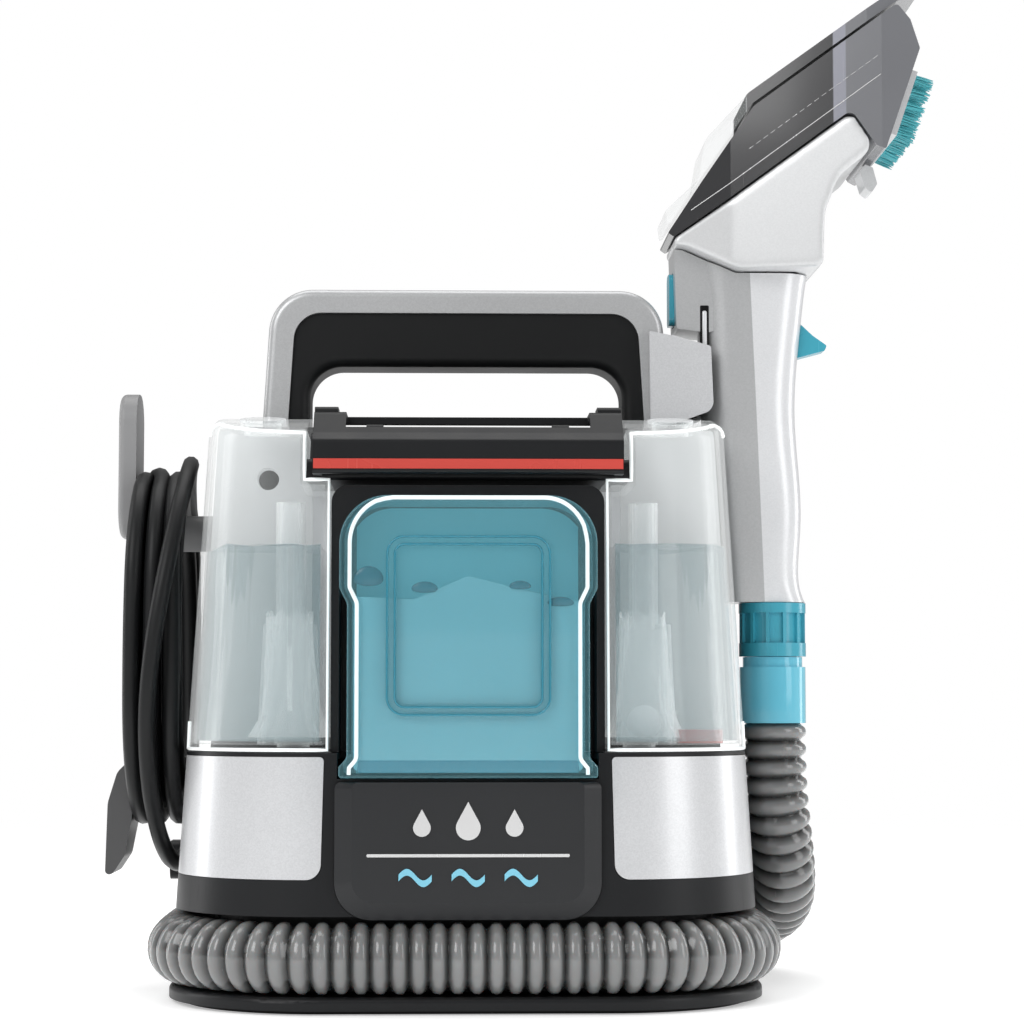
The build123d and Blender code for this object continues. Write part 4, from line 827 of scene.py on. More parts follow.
    @staticmethod
    def turned(name: str, stations: Sequence[tuple[float, float]], start: Point, towards: Point,
               sides: int = 32) -> Object:
        """A round piece whose radius changes along a straight axis, drawn out ring by ring.

        Args:
            name: the piece's name.
            stations: how far along the axis each ring is, and its radius.
            start: where the axis starts.
            towards: the axis's direction.
            sides: how many sides the rings have.

        Returns:
            The closed piece.
        """
        Bench.clear()
        first, radius = stations[0]
        bpy.ops.mesh.primitive_circle_add(vertices=sides, radius=radius, fill_type="NGON",
                                          location=(0, 0, first))
        piece = bpy.context.object
        bpy.ops.object.transform_apply(location=True, rotation=True, scale=True)
        bpy.ops.object.mode_set(mode="EDIT")
        bpy.ops.mesh.select_all(action="SELECT")
        for (before, old), (after, new) in zip(stations, stations[1:]):
            bpy.ops.mesh.extrude_region_move(TRANSFORM_OT_translate={"value": (0, 0, after - before)})
            bpy.ops.transform.resize(value=(new / old, new / old, 1), center_override=(0, 0, after))
        bpy.ops.mesh.select_all(action="SELECT")
        bpy.ops.mesh.normals_make_consistent(inside=False)
        bpy.ops.object.mode_set(mode="OBJECT")
        turn = Vector(towards).to_track_quat("Z", "Y").to_matrix().to_4x4()
        piece.data.transform(Matrix.Translation(start) @ turn)
        piece.name = name
        piece.data.name = name
        return piece


@dataclass
class Workshop:
    """Where finished pieces get their material, their body and the nodes that they stand for."""

    paint: Paintbox = field(default_factory=Paintbox)

    def place(self, piece: Object, finish: AnyFinish, body: Body, slot: str,
              stands_for: Sequence[str] = ()) -> Object:
        """Finishes a piece.

        Args:
            piece: the shaped piece.
            finish: its surface.
            body: the body that it moves with.
            slot: not used.
            stands_for: the CAD nodes that it replaces.

        Returns:
            The piece.
        """
        piece.data.materials.clear()
        piece.data.materials.append(self.paint.of(finish))
        if stands_for:
            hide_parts(*stands_for)
        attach(piece, body.value)
        LOG.info("%s rides on %s", piece.name, body.value)
        return piece

    def dress_frame(self) -> None:
        """Gives every CAD node its finish."""
        for node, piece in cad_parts.items():
            if node in CAD_FINISHES:
                material = self.paint.of(CAD_FINISHES[node])
                for material_slot in piece.material_slots:
                    material_slot.material = material


# ---- cords -------------------------------------------------------------------------------------------------
class Route:
    """A smooth line through space, from a few control points."""

    @staticmethod
    def curve(name: str, points: Sequence[Point], steps: int) -> Object:
        """A smooth open curve.

        Args:
            name: the curve's name.
            points: its control points.
            steps: how finely it is drawn between them.

        Returns:
            The curve object, in the scene.
        """
        data = bpy.data.curves.new(name, "CURVE")
        data.dimensions = "3D"
        data.resolution_u = steps
        spline = data.splines.new("NURBS")
        spline.points.add(len(points) - 1)
        for slot, point in zip(spline.points, points):
            slot.co = (*point, 1.0)
        spline.order_u = 3
        spline.use_endpoint_u = True
        piece = bpy.data.objects.new(name, data)
        bpy.context.scene.collection.objects.link(piece)
        return piece

    @staticmethod
    def line(points: Sequence[Point], step: float) -> list[Vector]:
        """Evenly spaced places along the smooth line.

        Args:
            points: the control points.
            step: the wanted spacing.

        Returns:
            The places, from the first end to the last.
        """
        guide = Route.curve("guide", points, 24)
        mesh = bpy.data.meshes.new_from_object(guide)
        raw = [vertex.co.copy() for vertex in mesh.vertices]
        bpy.data.meshes.remove(mesh)
        bpy.data.objects.remove(guide, do_unlink=True)
        lengths = [0.0]
        for a, b in zip(raw, raw[1:]):
            lengths.append(lengths[-1] + (b - a).length)
        count = max(2, round(lengths[-1] / step))
        placed = []
        segment = 0
        for index in range(count + 1):
            target = lengths[-1] * index / count
            while segment < len(raw) - 2 and lengths[segment + 1] < target:
                segment += 1
            span = lengths[segment + 1] - lengths[segment] or 1.0
            placed.append(raw[segment].lerp(raw[segment + 1], (target - lengths[segment]) / span))
        return placed


@dataclass
class SuctionHose:
    """The ribbed hose, from the wand's cuff round the base to its port at the back."""

    diameter: float = 0.033
    length: float = 1.154
    pitch: float = 0.0088
    rib_depth: float = 0.0029
    sides: int = 28
    stretch_from: float = 0.050
    stretch_to: float = 0.112
    rib_profile: tuple[float, ...] = (0.0, 0.30, 0.78, 0.96, 1.0, 0.96, 0.78, 0.30)
    route: tuple[Point, ...] = (
        (0.1545, 0.008, 0.131), (0.1545, 0.008, 0.104), (0.1575, 0.012, 0.078), (0.162, 0.027, 0.054),
        (0.1645, 0.055, 0.038), (0.1575, 0.088, 0.028), (0.133, 0.120, 0.0195), (0.096, 0.1365, 0.0175),
        (0.048, 0.1385, 0.0175), (0.0, 0.138, 0.0175), (-0.044, 0.1355, 0.0198), (-0.080, 0.1225, 0.0246),
        (-0.110, 0.097, 0.0254), (-0.130, 0.064, 0.025), (-0.136, 0.030, 0.025), (-0.1362, -0.024, 0.025),
        (-0.135, -0.0627, 0.025), (-0.0952, -0.1025, 0.025), (-0.036, -0.1036, 0.025), (0.036, -0.1036, 0.025),
        (0.0952, -0.1025, 0.025), (0.135, -0.0627, 0.025), (0.1362, 0.0, 0.025), (0.135, 0.0627, 0.025),
        (0.0952, 0.1025, 0.025), (0.058, 0.103, 0.025), (0.022, 0.1025, 0.025))

    def build(self, shop: Workshop) -> None:
        """Draws the ribs along the route."""
        rings_per_rib = len(self.rib_profile)
        line = Route.line(self.route, self.pitch / rings_per_rib)
        radius = self.diameter / 2
        verts: list[Vector] = []
        crest: list[float] = []
        across = Vector((1, 0, 0))
        for index, here in enumerate(line):
            ahead = (line[min(index + 1, len(line) - 1)] - line[max(index - 1, 0)]).normalized()
            across = (across - ahead * across.dot(ahead)).normalized()
            other = ahead.cross(across)
            height = self.rib_profile[index % rings_per_rib]
            ring_radius = radius - self.rib_depth * (1 - height)
            for side in range(self.sides):
                angle = math.tau * side / self.sides
                verts.append(here + (across * math.cos(angle) + other * math.sin(angle)) * ring_radius)
                crest.append(height)
        faces: list[tuple[int, ...]] = []
        for ring in range(len(line) - 1):
            for side in range(self.sides):
                after = (side + 1) % self.sides
                low, high = ring * self.sides, (ring + 1) * self.sides
                faces.append((low + side, low + after, high + after, high + side))
        faces.append(tuple(reversed(range(self.sides))))
        faces.append(tuple(range(len(verts) - self.sides, len(verts))))
        mesh = bpy.data.meshes.new("ribbed_hose")
        mesh.from_pydata(verts, [], faces)
        mesh.attributes.new("crest", "FLOAT", "POINT").data.foreach_set("value", crest)
        piece = bpy.data.objects.new("ribbed_hose", mesh)
        bpy.context.scene.collection.objects.link(piece)
        Bench.smooth(piece, 50)
        piece.data.materials.append(shop.paint.of(HOSE))
        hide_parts("suction_hose")
        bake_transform(piece)


@dataclass
class PowerCord:
    """The mains cord: a lead from the strain relief and nine turns on the hooks."""

    diameter: float = 0.0083
    length: float = 4.1
    outer_x: float = -0.15985
    middle_y: float = 0.010
    middle_z: float = 0.170
    half_depth: float = 0.061
    straight: float = 0.029
    looseness: float = 0.0007
    run_share: float = 0.4
    bulge: float = 0.0012
    tail: tuple[Point, ...] = (
        (-0.15985, 0.036, 0.2455), (-0.1592, 0.058, 0.226), (-0.1560, 0.0695, 0.205), (-0.15155, 0.072, 0.186))
    sleeve_radius: float = 0.0074
    sleeve_taper: float = 0.0020
    sleeve_ribs: int = 6
    boot_radius: float = 0.0055
    boot_ribs: int = 5
    boot_step: float = 0.0062
    plug_half_x: float = 0.0090
    plug_behind: float = 0.0095
    plug_ahead: float = 0.0115
    plug_tall: float = 0.030
    pin_half: tuple[float, float] = (0.0008, 0.003)
    pin_apart: float = 0.0063
    lead: tuple[Point, ...] = (
        (-0.145, 0.048, 0.059), (-0.1456, 0.026, 0.060), (-0.1475, 0.002, 0.065), (-0.150, -0.022, 0.078),
        (-0.1525, -0.042, 0.101), (-0.1530, -0.0555, 0.133), (-0.1500, -0.0585, 0.168), (-0.1445, -0.056, 0.202),
        (-0.1400, -0.041, 0.233), (-0.1375, -0.017, 0.2545), (-0.1380, 0.008, 0.2625), (-0.142, 0.030, 0.2565))
    cells: tuple[tuple[int, int], ...] = (
        (2, 0), (2, 1), (2, 2), (1, 2), (0, 2), (0, 1), (1, 1), (1, 0), (0, 0))

    def turn(self, column: int, layer: int, dice: random.Random) -> list[Point]:
        """The control points of one turn, from the top's back round to the top's front.

        Args:
            column: which column across, counted from the outside of the machine.
            layer: how many turns lie outside this one.
            dice: the looseness of the turns.

        Returns:
            The turn's points.
        """
        reach = self.half_depth - self.diameter * (layer + 0.5)
        pull = reach / math.cos(math.radians(15)) * 0.985
        x = self.outer_x + column * self.diameter
        near = self.straight * self.run_share
        bends = (((15, 45, 75), self.straight, [(reach, near), (reach, -near)]),
                 ((105, 135, 165, 195, 225, 255), -self.straight, [(-reach, -near), (-reach, near)]),
                 ((285, 315, 345), self.straight, []))
        places: list[tuple[float, float]] = []
        for angles, level, run in bends:
            for angle in map(math.radians, angles):
                places.append((pull * math.sin(angle), level + pull * math.cos(angle)))
            places += run
        lean = dice.uniform(-1, 1) * self.looseness
        points = []
        for y, z in places:
            bow = math.cos(z / (self.half_depth + self.straight) * math.pi / 2)
            side = -self.bulge * bow * (1 - column) + lean * z / self.half_depth * 1.6
            slack = dice.uniform(-0.4, 0.4) * self.looseness
            points.append((x + side, self.middle_y + y + slack, self.middle_z + z))
        return points

    def build(self, shop: Workshop) -> None:
        """Winds the cord and puts its plug and strain relief on."""
        dice = random.Random(7)
        points = list(self.lead)
        for index, (column, layer) in enumerate(self.cells):
            turn = self.turn(column, layer, dice)
            points += turn[1:] if index == 0 else turn
        points += self.tail
        piece = Route.curve("mains_cord", points, 6)
        piece.data.bevel_depth = self.diameter / 2
        piece.data.bevel_resolution = 3
        piece.data.use_fill_caps = True
        shop.place(piece, CORD, Body.CHASSIS, "cord_black", ["power_cord_lead", "power_cord_coil"])
        relief = self.relief(shop)
        plug = self.plug(shop)

    def relief(self, shop: Workshop) -> Object:
        """The tapered sleeve that guards the cord where it leaves the housing."""
        low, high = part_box("strain_relief")
        length = high.y - low.y
        stations = [(0.0, 0.0086), (0.0026, 0.0086), (0.0030, self.sleeve_radius)]
        for rib in range(self.sleeve_ribs):
            along = 0.0045 + rib * (length - 0.007) / self.sleeve_ribs
            radius = self.sleeve_radius - self.sleeve_taper * rib / self.sleeve_ribs
            groove = radius - 0.0012
            stations += [(along, radius), (along + 0.0006, groove), (along + 0.0016, groove),
                         (along + 0.0022, radius - 0.0002)]
        stations += [(length, 0.0051)]
        start = (self.lead[0][0], high.y, self.lead[0][2])
        piece = Bench.turned("strain_sleeve", stations, start, (0, -1, 0))
        Bench.smooth(piece)
        return shop.place(piece, RUBBER, Body.CHASSIS, "rubber_black", ["strain_relief"])

    def plug(self, shop: Workshop) -> list[Object]:
        """The moulded plug with its ribbed boot and two pins."""
        low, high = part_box("power_plug")
        x = (low.x + high.x) / 2
        y = (low.y + high.y) / 2
        body_top = high.z - self.plug_tall
        body = Bench.block("plug_body", (x - self.plug_half_x, y - self.plug_behind, body_top - self.plug_tall),
                           (x + self.plug_half_x, y + self.plug_ahead, body_top))
        Bench.apply(body, "BEVEL", width=0.0055, segments=4, limit_method="ANGLE")
        stations = [(0.0, 0.0052)]
        for rib in range(self.boot_ribs):
            along = 0.002 + rib * self.boot_step
            radius = self.boot_radius + 0.0005 * rib
            ridge = radius + 0.0008
            stations += [(along, radius), (along + 0.001, ridge), (along + 0.003, ridge), (along + 0.004, radius)]
        stations += [(0.034, 0.0085)]
        boot = Bench.turned("plug_boot", stations, (x, *self.tail[-1][1:]), (0, 0.006, -0.032))
        body = Bench.join([body, boot], "plug_body")
        Bench.smooth(body)
        shop.place(body, CORD, Body.CHASSIS, "cord_black", ["power_plug"])
        pins = []
        for side in (-1, 1):
            middle = y + 0.001 + side * self.pin_apart
            half_x, half_y = self.pin_half
            pin = Bench.block("pin", (x - half_x, middle - half_y, low.z),
                              (x + half_x, middle + half_y, body_top - self.plug_tall + 0.002))
            Bench.apply(pin, "BEVEL", width=0.0006, segments=2)
            pins.append(pin)
        pair = Bench.join(pins, "plug_pins")
        shop.place(pair, STEEL, Body.CHASSIS, "steel")
        return [body, pair]


# ---- tanks -------------------------------------------------------------------------------------------------
@dataclass
class TankContents:
    """The water in both tanks, with its ripples, and white beads along the edges of their fronts, which are
    painted highlights.
    """

    wall: float = 0.0038
    level: float = 0.2145
    ripple: float = 0.0016
    highlight_radius: float = 0.0009
    dark_band: float = 0.011

    def ripples(self, x: float, y: float) -> float:
        """How far the surface rises at a place."""
        return self.ripple * (math.sin(x * 170) * math.cos(y * 120 + 1) + 0.5 * math.sin(x * 390 + y * 260))

    def build(self, shop: Workshop) -> None:
        """Fills and trims both tanks."""
        for node in ("recovery_tank", "clean_tank"):
            self.water(shop, node)
            low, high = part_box(node)
            outer = min(abs(low.x), abs(high.x)) + 0.028
            # a white bead along the front's outer edges, a painted highlight
            highlight_bead = Bench.bead(node, node + "_rim", lambda middle, normal: normal.y < -0.22 and middle.y < -0.05,
                             self.highlight_radius, lambda place: abs(place.x) > outer
                             and low.z + 0.008 < place.z < high.z - 0.012)
            shop.place(highlight_bead, RIM_HIGHLIGHT, Body.TANKS, "clear_plastic")
            self.back_wall(shop, node)
        for node in ("recovery_standpipe", "clean_standpipe"):
            self.splash(shop, node)

    def back_wall(self, shop: Workshop, node: str) -> None:
        """The frosted sheet inside a tank's back, with a window over the power button."""
        low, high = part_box(node)
        sheet = Bench.block(node + "_back", (low.x, high.y - self.wall - 0.0022, low.z),
                            (high.x, high.y - self.wall - 0.0010, high.z))
        Bench.cut(sheet, Bench.filling(node, "inside", self.wall), "INTERSECT")
        inner = min(abs(low.x), abs(high.x)) + self.dark_band
        spare = 0.01
        Bench.cut(sheet, Bench.block("band", (-inner, low.y, low.z - spare),
                                     (inner, high.y + spare, high.z + spare)))
        button_low, button_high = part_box("power_button")
        spot = (button_low + button_high) / 2
        radius = (button_high.x - button_low.x) / 2 + 0.0004
        if low.x < spot.x < high.x:
            Bench.cut(sheet, Bench.turned("window", [(0.0, radius), (0.08, radius)],
                                          (spot.x, high.y + 0.03, spot.z), (0, -1, 0)))
        Bench.smooth(sheet, 30)
        shop.place(sheet, FROSTED, Body.TANKS, "clear_plastic")

    def splash(self, shop: Workshop, node: str) -> None:
        """The thin skirt of foam where the water runs off a standpipe."""
        low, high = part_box(node)
        foot = (low.x + high.x) / 2, (low.y + high.y) / 2, low.z + 0.003
        rings = ((0.0, 0.0190), (0.003, 0.0172), (0.008, 0.0150), (0.015, 0.0134), (0.024, 0.0122),
                 (0.036, 0.0113), (0.048, 0.0108), (0.058, 0.0105))
        top = rings[-1][0]
        skirt = Bench.turned(node + "_splash", rings, foot, (0, 0, 1), sides=72)
        Bench.pick(skirt, lambda middle, normal: abs(normal.z) > 0.99)
        bpy.ops.mesh.delete(type="FACE")
        bpy.ops.object.mode_set(mode="OBJECT")
        for vertex in skirt.data.vertices:
            angle = math.atan2(vertex.co.y - foot[1], vertex.co.x - foot[0])
            rise = vertex.co.z - foot[2]
            swing = 1 + 0.07 * math.sin(5 * angle + rise * 90) + 0.03 * math.sin(13 * angle - rise * 140)
            vertex.co.x = foot[0] + (vertex.co.x - foot[0]) * swing
            vertex.co.y = foot[1] + (vertex.co.y - foot[1]) * swing
            vertex.co.z += 0.0016 * math.sin(9 * angle) * rise / top
        Bench.apply(skirt, "SOLIDIFY", thickness=0.0004, offset=0.0)
        Bench.smooth(skirt, 60)
        shop.place(skirt, FOAM, Body.TANKS, "clear_plastic")

    def water(self, shop: Workshop, node: str) -> None:
        """Fills one tank: its hull, drawn in by the wall and cut off at the ripples."""
        piece = Bench.filling(node, node + "_water", self.wall)
        low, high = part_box(node)
        tool = Bench.waves("ripple_tool", (low.x - 0.01, low.y - 0.01, self.level),
                           (high.x + 0.01, high.y + 0.01, high.z + 0.02), self.ripples)
        Bench.cut(piece, tool)
        Bench.smooth(piece, 30)
        shop.place(piece, WATER, Body.TANKS, "clear_plastic")


@dataclass
class CartridgeContents:
    """The cleaning liquid in the front cartridge, its bubbles, and a white bead round the cartridge's face, a
    painted highlight.
    """

    side_gap: float = 0.0064
    wall: float = 0.0026
    level: float = 0.1925
    swell: float = 0.0065
    swell_length: float = 0.080
    highlight_radius: float = 0.0010
    highlight_inset: float = 0.0036
    line_radius: float = 0.00055
    face_step: float = 0.0014
    frame_half: float = 0.045
    bubble_depth: float = 0.0012
    bubble_places: tuple[tuple[float, float, float, float], ...] = (
        (-0.0455, 0.1985, 0.0068, 0.0046), (-0.0200, 0.1935, 0.0060, 0.0026),
        (0.0235, 0.1945, 0.0050, 0.0020), (0.0420, 0.1870, 0.0060, 0.0022))

    def swells(self, x: float, y: float) -> float:
        """How far the liquid rises at a place."""
        wave = self.swell * math.cos(math.tau * x / self.swell_length + (y + 0.09) * 9)
        return wave + 0.0008 * math.sin(x * 310)

    def build(self, shop: Workshop) -> None:
        """Fills and trims the cartridge."""
        low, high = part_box("solution_tank")
        front = low.y + self.face_step
        self.liquid(shop, low, high)
        self.trim(shop, low, high)
        self.backing(shop, low, high)
        self.bubbles(shop, front)

    def liquid(self, shop: Workshop, low: Vector, high: Vector) -> None:
        """The liquid, cut off at its swells."""
        front = low.y + self.face_step
        liquid = Bench.block("cartridge_liquid", (low.x + self.side_gap, front + self.wall, low.z + self.wall),
                             (high.x - self.side_gap, high.y - 0.0048, high.z - 0.03))
        Bench.apply(liquid, "BEVEL", width=0.003, segments=3, limit_method="ANGLE")
        tool = Bench.waves("swell_tool", (low.x - 0.01, low.y - 0.01, self.level),
                           (high.x + 0.01, high.y + 0.01, high.z + 0.02), self.swells)
        Bench.cut(liquid, tool)
        Bench.smooth(liquid, 30)
        shop.place(liquid, TEAL_LIQUID, Body.CARTRIDGE, "teal_clear")

    def trim(self, shop: Workshop, low: Vector, high: Vector) -> None:
        """A white bead round the face, a painted highlight, and the fine lines of its raised frame."""
        front = low.y + self.face_step + 0.0003

        def on_face(middle: Vector, normal: Vector) -> bool:
            """Whether a facet belongs to the flat front."""
            return normal.y < -0.99 and middle.y < front

        def in_frame(place: Vector) -> bool:
            """Whether a place of the outline belongs to the raised frame."""
            return abs(place.x) < self.frame_half and low.z + 0.012 < place.z < high.z - 0.01

        # the white bead round the face, drawn in from its outline, is a painted highlight
        highlight_bead = Bench.bead("solution_tank", "cartridge_rim", on_face, self.highlight_radius,
                         lambda place: place.z < low.z + 0.0015 or in_frame(place))
        for vertex in highlight_bead.data.vertices:
            vertex.co.x *= 1 - self.highlight_inset / high.x
        shop.place(highlight_bead, TEAL_RIM_HIGHLIGHT, Body.CARTRIDGE, "teal_clear")
        lines = Bench.bead("solution_tank", "cartridge_lines", on_face, self.line_radius,
                           lambda place: not in_frame(place))
        shop.place(lines, TEAL_LINE, Body.CARTRIDGE, "teal_clear")

    def backing(self, shop: Workshop, low: Vector, high: Vector) -> None:
        """The teal sheet inside the back, and a darker teal band at the foot of the front."""
        front = low.y + self.face_step
        backing = Bench.block("cartridge_backing", (low.x + self.side_gap, high.y - 0.0044, low.z),
                              (high.x - self.side_gap, high.y - self.wall - 0.0002, high.z))
        Bench.cut(backing, Bench.filling("solution_tank", "inside", self.wall), "INTERSECT")
        Bench.smooth(backing, 30)
        shop.place(backing, TEAL_BACKING, Body.CARTRIDGE, "teal_clear")
        bottom_band = Bench.block("cartridge_bottom_band", (low.x + self.side_gap + 0.002, front + self.wall - 0.0002,
                                              low.z + self.wall - 0.0004),
                           (high.x - self.side_gap - 0.002, front + self.wall + 0.004, low.z + 0.0085))
        Bench.apply(bottom_band, "BEVEL", width=0.0012, segments=3, limit_method="ANGLE")
        shop.place(bottom_band, TEAL_BOTTOM_BAND, Body.CARTRIDGE, "teal_clear")

    def bubbles(self, shop: Workshop, front: float) -> None:
        """Flat bubbles that cling to the front wall at the surface."""
        made = []
        for x, z, wide, tall in self.bubble_places:
            Bench.clear()
            bpy.ops.mesh.primitive_uv_sphere_add(segments=24, ring_count=14, radius=1.0, location=(0, 0, 0))
            bubble = bpy.context.object
            for vertex in bubble.data.vertices:
                lean = 0.25 * vertex.co.x * vertex.co.x
                vertex.co = Vector((vertex.co.x * wide, vertex.co.y * self.bubble_depth,
                                    (vertex.co.z - lean) * tall))
            bubble.data.transform(Matrix.Translation((x, front + self.wall - 0.0004, z)))
            made.append(bubble)
        bubbles = Bench.join(made, "surface_bubbles")
        Bench.smooth(bubbles, 60)
        shop.place(bubbles, BUBBLE, Body.CARTRIDGE, "teal_clear")


# ---- tool head ---------------------------------------------------------------------------------------------
@dataclass
class WandTrim:
    """The slot with its tongue in the side of the wand; the slot's recess is drawn as a black plate, painted
    shade.
    """

    place: tuple[float, float] = (0.1195, 0.3286)
    slot_half: tuple[float, float] = (0.0024, 0.0118)
    tongue_half: tuple[float, float] = (0.0012, 0.0090)
    slot_proud: float = 0.0003
    tongue_proud: float = 0.0009
    sunk: float = 0.0012

    def build(self, shop: Workshop) -> None:
        """Sets the slot's black plate, painted shade, and its tongue on the shell."""
        x, z = self.place
        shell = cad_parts["wand_rear_shell"]
        found, spot, _, _ = shell.ray_cast(Vector((x, -1.0, z)), Vector((0, 1, 0)))
        y = spot.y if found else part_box("wand_rear_shell")[0].y
        # the black plate stands for the shade in the slot's recess
        pieces = (("wand_slot_shade", self.slot_half, self.slot_proud, BUTTON, "charcoal_plastic"),
                  ("wand_tongue", self.tongue_half, self.tongue_proud, WAND_WHITE, "wand_white"))
        for name, (half_x, half_z), proud, finish, slot in pieces:
            piece = Bench.block(name, (x - half_x, y - proud, z - half_z),
                                (x + half_x, y + self.sunk, z + half_z))
            Bench.apply(piece, "BEVEL", width=half_x * 0.8, segments=4, limit_method="ANGLE")
            Bench.smooth(piece, 50)
            shop.place(piece, finish, Body.WAND, slot)


@dataclass
class HeadTrim:
    """The brush's bristles and the fine bright lines on the hood, which are painted highlights."""

    rows: int = 5
    columns: int = 9
    row_step: float = 0.007
    column_step: float = 0.008
    bristle_length: float = 0.0102
    bristle_radius: float = 0.00042
    per_tuft: int = 15
    mouth: Point = (0.2145, 0.008, 0.4405)
    mouth_tilt: float = math.radians(18.9)
    slope: float = math.radians(35.0)
    tuft_radius: float = 0.0022
    lean: float = 0.12
    splay: float = 0.10
    golden_angle: float = 2.399
    hood_from: tuple[float, float] = (0.132, 0.026)
    hood_to: tuple[float, float] = (0.205, 0.047)
    solid_line: float = 0.2525
    broken_line: float = 0.2610
    solid_radius: float = 0.00022
    broken_radius: float = 0.00013
    dash: float = 0.0022

    def build(self, shop: Workshop) -> None:
        """Rounds the body, sets the bristles and draws the lines."""
        self.body(shop)
        self.bristles(shop)
        self.lines(shop)

    def body(self, shop: Workshop) -> None:
        """The head's body with its corners flowing into each other."""
        piece = Bench.copy_of("head_body", "head_casing")
        Bench.apply(piece, "REMESH", mode="VOXEL", voxel_size=0.0009, use_smooth_shade=True)
        Bench.apply(piece, "SMOOTH", factor=0.5, iterations=30)
        Bench.smooth(piece, 50)
        shop.place(piece, HEAD_GREY, Body.HEAD, "head_grey", ["head_body"])

    def bristles(self, shop: Workshop) -> None:
        """Tufts of bristles that splay a little, in rows across the mouth."""
        dice = random.Random(3)
        stations = [(0.0, self.bristle_radius), (self.bristle_length * 0.6, self.bristle_radius),
                    (self.bristle_length, self.bristle_radius * 0.5)]
        single = Bench.turned("bristle", stations, (0, 0, 0), (1, 0, 0), sides=5)
        base = Matrix.Translation(self.mouth) @ Matrix.Rotation(self.mouth_tilt, 4, "Y")
        copies = []
        for row in range(self.rows):
            for column in range(self.columns):
                tuft = base @ Matrix.Translation((0.0049, (column - (self.columns - 1) / 2) * self.column_step,
                                                  (row - (self.rows - 1) / 2) * self.row_step))
                splay = Matrix.Rotation(dice.uniform(-self.splay, self.splay) + (2 - row) * 0.03, 4, "Y")
                for strand in range(self.per_tuft):
                    angle = strand * self.golden_angle
                    out = self.tuft_radius * math.sqrt(strand / self.per_tuft)
                    lean = Matrix.Rotation(dice.uniform(-self.lean, self.lean), 4, "Y") @ Matrix.Rotation(
                        dice.uniform(-self.lean, self.lean), 4, "Z")
                    copy = bpy.data.objects.new("bristle", single.data.copy())
                    bpy.context.scene.collection.objects.link(copy)
                    stretch = Matrix.Scale(dice.uniform(0.86, 1.0), 4, (1, 0, 0))
                    spot = Matrix.Translation((0, out * math.cos(angle), out * math.sin(angle)))
                    copy.data.transform(tuft @ splay @ spot @ lean @ stretch)
                    copies.append(copy)
        bpy.data.objects.remove(single, do_unlink=True)
        brush = Bench.join(copies, "bristle_tufts")
        Bench.smooth(brush, 50)
        shop.place(brush, BRISTLE, Body.HEAD, "teal_plastic", ["brush_bristles"])

    def side(self, x: float) -> float:
        """How far forward the hood's front side stands at a place across."""
        (near_x, near_half), (far_x, far_half) = self.hood_from, self.hood_to
        share = (min(max(x, near_x), far_x) - near_x) / (far_x - near_x)
        return self.mouth[1] - near_half - share * (far_half - near_half)

    def spot(self, x: float, lift: float) -> Point:
        """A place on the hood's front side, on the line that lies lift above the slope through the heel."""
        return x, self.side(x) - 0.00005, math.tan(self.slope) * x + lift / math.cos(self.slope)

    def lines(self, shop: Workshop) -> None:
        """A solid line and a broken one along the hood's front side, drawn as bright bars that are painted
        highlights.
        """
        # silver bars: painted highlights along a groove edge and a row of dashes
        bars = [self.bar(start, end, self.solid_line, self.solid_radius)
                for start, end in ((0.112, 0.132), (0.132, 0.2045))]
        x = 0.141
        while x < 0.2035:
            bars.append(self.bar(x, x + self.dash, self.broken_line, self.broken_radius))
            x += self.dash * 1.6
        joined = Bench.join(bars, "hood_highlight_lines")
        shop.place(joined, BADGE_SILVER, Body.HEAD, "badge_silver")

    def bar(self, start: float, end: float, lift: float, radius: float) -> Object:
        """A fine bar between two places across the hood."""
        a = Vector(self.spot(start, lift))
        b = Vector(self.spot(end, lift))
        return Bench.turned("bar", [(0.0, radius), ((b - a).length, radius)], a, b - a, sides=8)


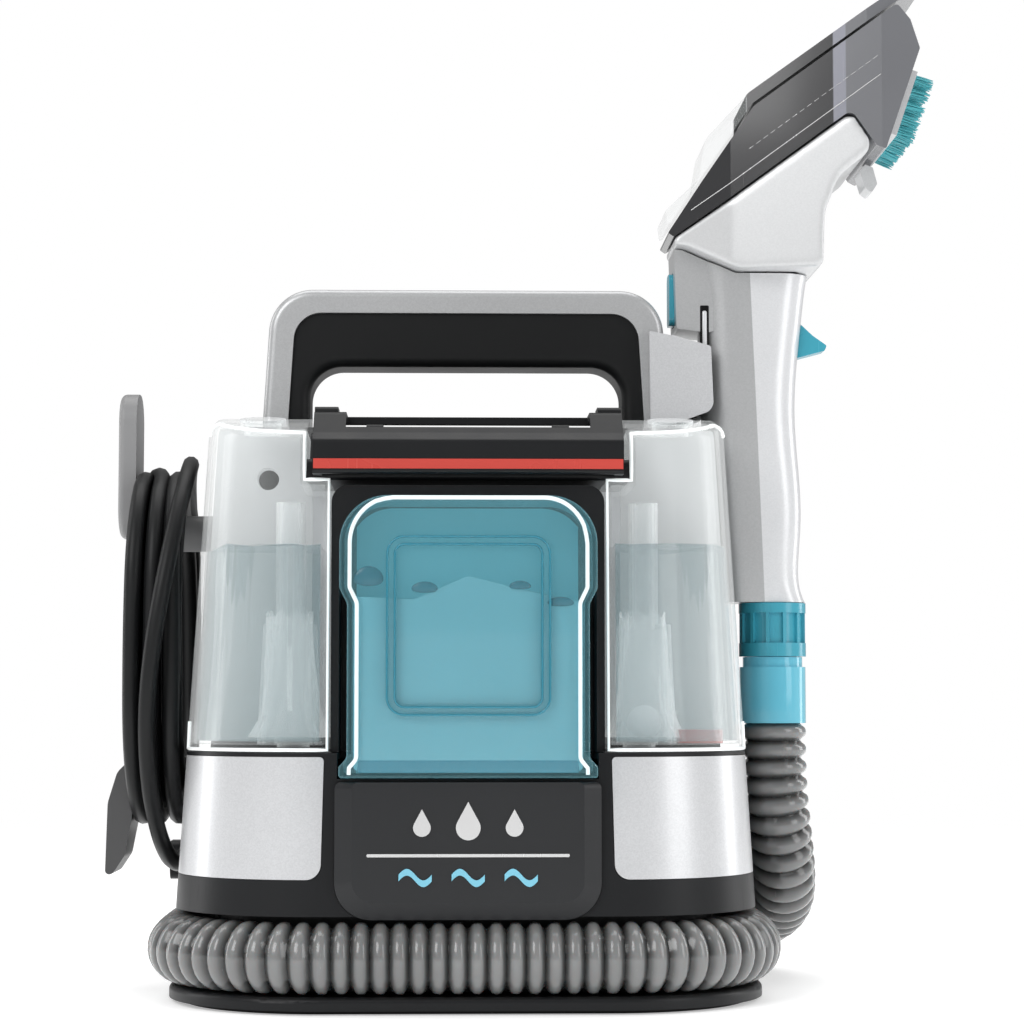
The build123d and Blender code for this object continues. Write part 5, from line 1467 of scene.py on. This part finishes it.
# ---- studio ------------------------------------------------------------------------------------------------
@dataclass
class Studio:
    """A pale floor, soft lights and the camera."""

    camera_place: Point = (-0.013, -1.300, 0.140)
    aim_right: float = math.atan(72 / 2600)
    aim_up: float = math.atan(193 / 2600)
    focal: float = 91.4
    near: float = 0.35
    far: float = 1.9
    near_glow: str = "#a8a8a8"

    def build(self) -> None:
        """Sets up the floor, the lights and the camera."""
        self.floor()
        self.light("key_softbox", (-1.4, -1.9, 1.7), (1.5, 1.5), 30)
        self.light("fill_softbox", (1.9, -1.4, 1.0), (0.9, 1.8), 13)
        self.light("top_softbox", (0.0, 0.3, 2.2), (2.2, 1.4), 20)
        self.light("left_strip", (-1.8, 0.5, 0.7), (0.5, 1.8), 9)
        self.light("right_strip", (1.8, 0.6, 0.7), (0.5, 1.8), 9)
        self.air()
        bpy.context.scene.cycles.transparent_max_bounces = 24
        bpy.context.scene.view_settings.view_transform = "Standard"
        self.camera()

    def air(self) -> None:
        """A white studio that lights the machine less than it shows."""
        world = bpy.data.worlds.new("studio_air")
        world.use_nodes = True
        tree = world.node_tree
        seen = add_node(tree, "ShaderNodeLightPath", {})
        strength = add_node(tree, "ShaderNodeMapRange", {"Value": seen.outputs["Is Camera Ray"],
                                                         "To Min": 0.38, "To Max": 1.0})
        background = tree.nodes["Background"]
        background.inputs["Color"].default_value = (1.0, 1.0, 1.0, 1.0)
        tree.links.new(strength.outputs[0], background.inputs["Strength"])
        bpy.context.scene.world = world

    def paper(self) -> Material:
        """White paper that fades into the white air with distance."""
        material, tree, shader = Paintbox.blank("floor_paper")
        place = add_node(tree, "ShaderNodeTexCoord", {}).outputs["Object"]
        reach = add_node(tree, "ShaderNodeVectorMath", {0: place}, operation="LENGTH").outputs["Value"]
        fade = add_node(tree, "ShaderNodeMapRange", {"Value": reach, "From Min": self.near,
                                                     "From Max": self.far},
                        interpolation_type="SMOOTHSTEP").outputs[0]
        white = (1.0, 1.0, 1.0, 1.0)
        base = add_node(tree, "ShaderNodeMix", {"Factor": fade, "A": linear("#fafafa"), "B": (0, 0, 0, 1)},
                        data_type="RGBA")
        shine = add_node(tree, "ShaderNodeMix", {"Factor": fade, "A": linear(self.near_glow), "B": white},
                         data_type="RGBA")
        tree.links.new(base.outputs["Result"], shader.inputs["Base Color"])
        tree.links.new(shine.outputs["Result"], shader.inputs["Emission Color"])
        Paintbox.hold(shader, {"Emission Strength": 1.0, "Roughness": 1.0, "Specular IOR Level": 0.0})
        return material

    def floor(self) -> None:
        """The pale floor."""
        Bench.clear()
        bpy.ops.mesh.primitive_plane_add(size=14.0, location=(0, 0, 0))
        floor = Bench.named("studio_floor")
        floor.data.materials.append(self.paper())

    def light(self, name: str, place: Point, size: tuple[float, float], power: float) -> None:
        """A softbox that faces the machine.

        Args:
            name: the light's name.
            place: where it stands.
            size: its width and height.
            power: its power in watts.
        """
        data = bpy.data.lights.new(name, "AREA")
        data.shape = "RECTANGLE"
        data.size, data.size_y = size
        data.energy = power
        lamp = bpy.data.objects.new(name, data)
        lamp.location = place
        lamp.rotation_euler = (Vector((0, 0, 0.22)) - Vector(place)).to_track_quat("-Z", "Y").to_euler()
        bpy.context.scene.collection.objects.link(lamp)

    def camera(self) -> None:
        """A long lens a little above the floor, that looks slightly up."""
        data = bpy.data.cameras.new("camera")
        data.lens = self.focal
        data.sensor_width = 36.0
        camera = bpy.data.objects.new("camera", data)
        camera.location = self.camera_place
        camera.rotation_euler = (math.pi / 2 + self.aim_up, 0, -self.aim_right)
        bpy.context.scene.collection.objects.link(camera)
        bpy.context.scene.camera = camera


def main() -> None:
    """Builds the machine's looks in order."""
    logging.basicConfig(level=logging.INFO, format="%(name)s: %(message)s")
    shop = Workshop()
    shop.dress_frame()
    Studio().build()
    PowerCord().build(shop)
    SuctionHose().build(shop)
    TankContents().build(shop)
    CartridgeContents().build(shop)
    WandTrim().build(shop)
    HeadTrim().build(shop)


if __name__ == "__main__":
    main()
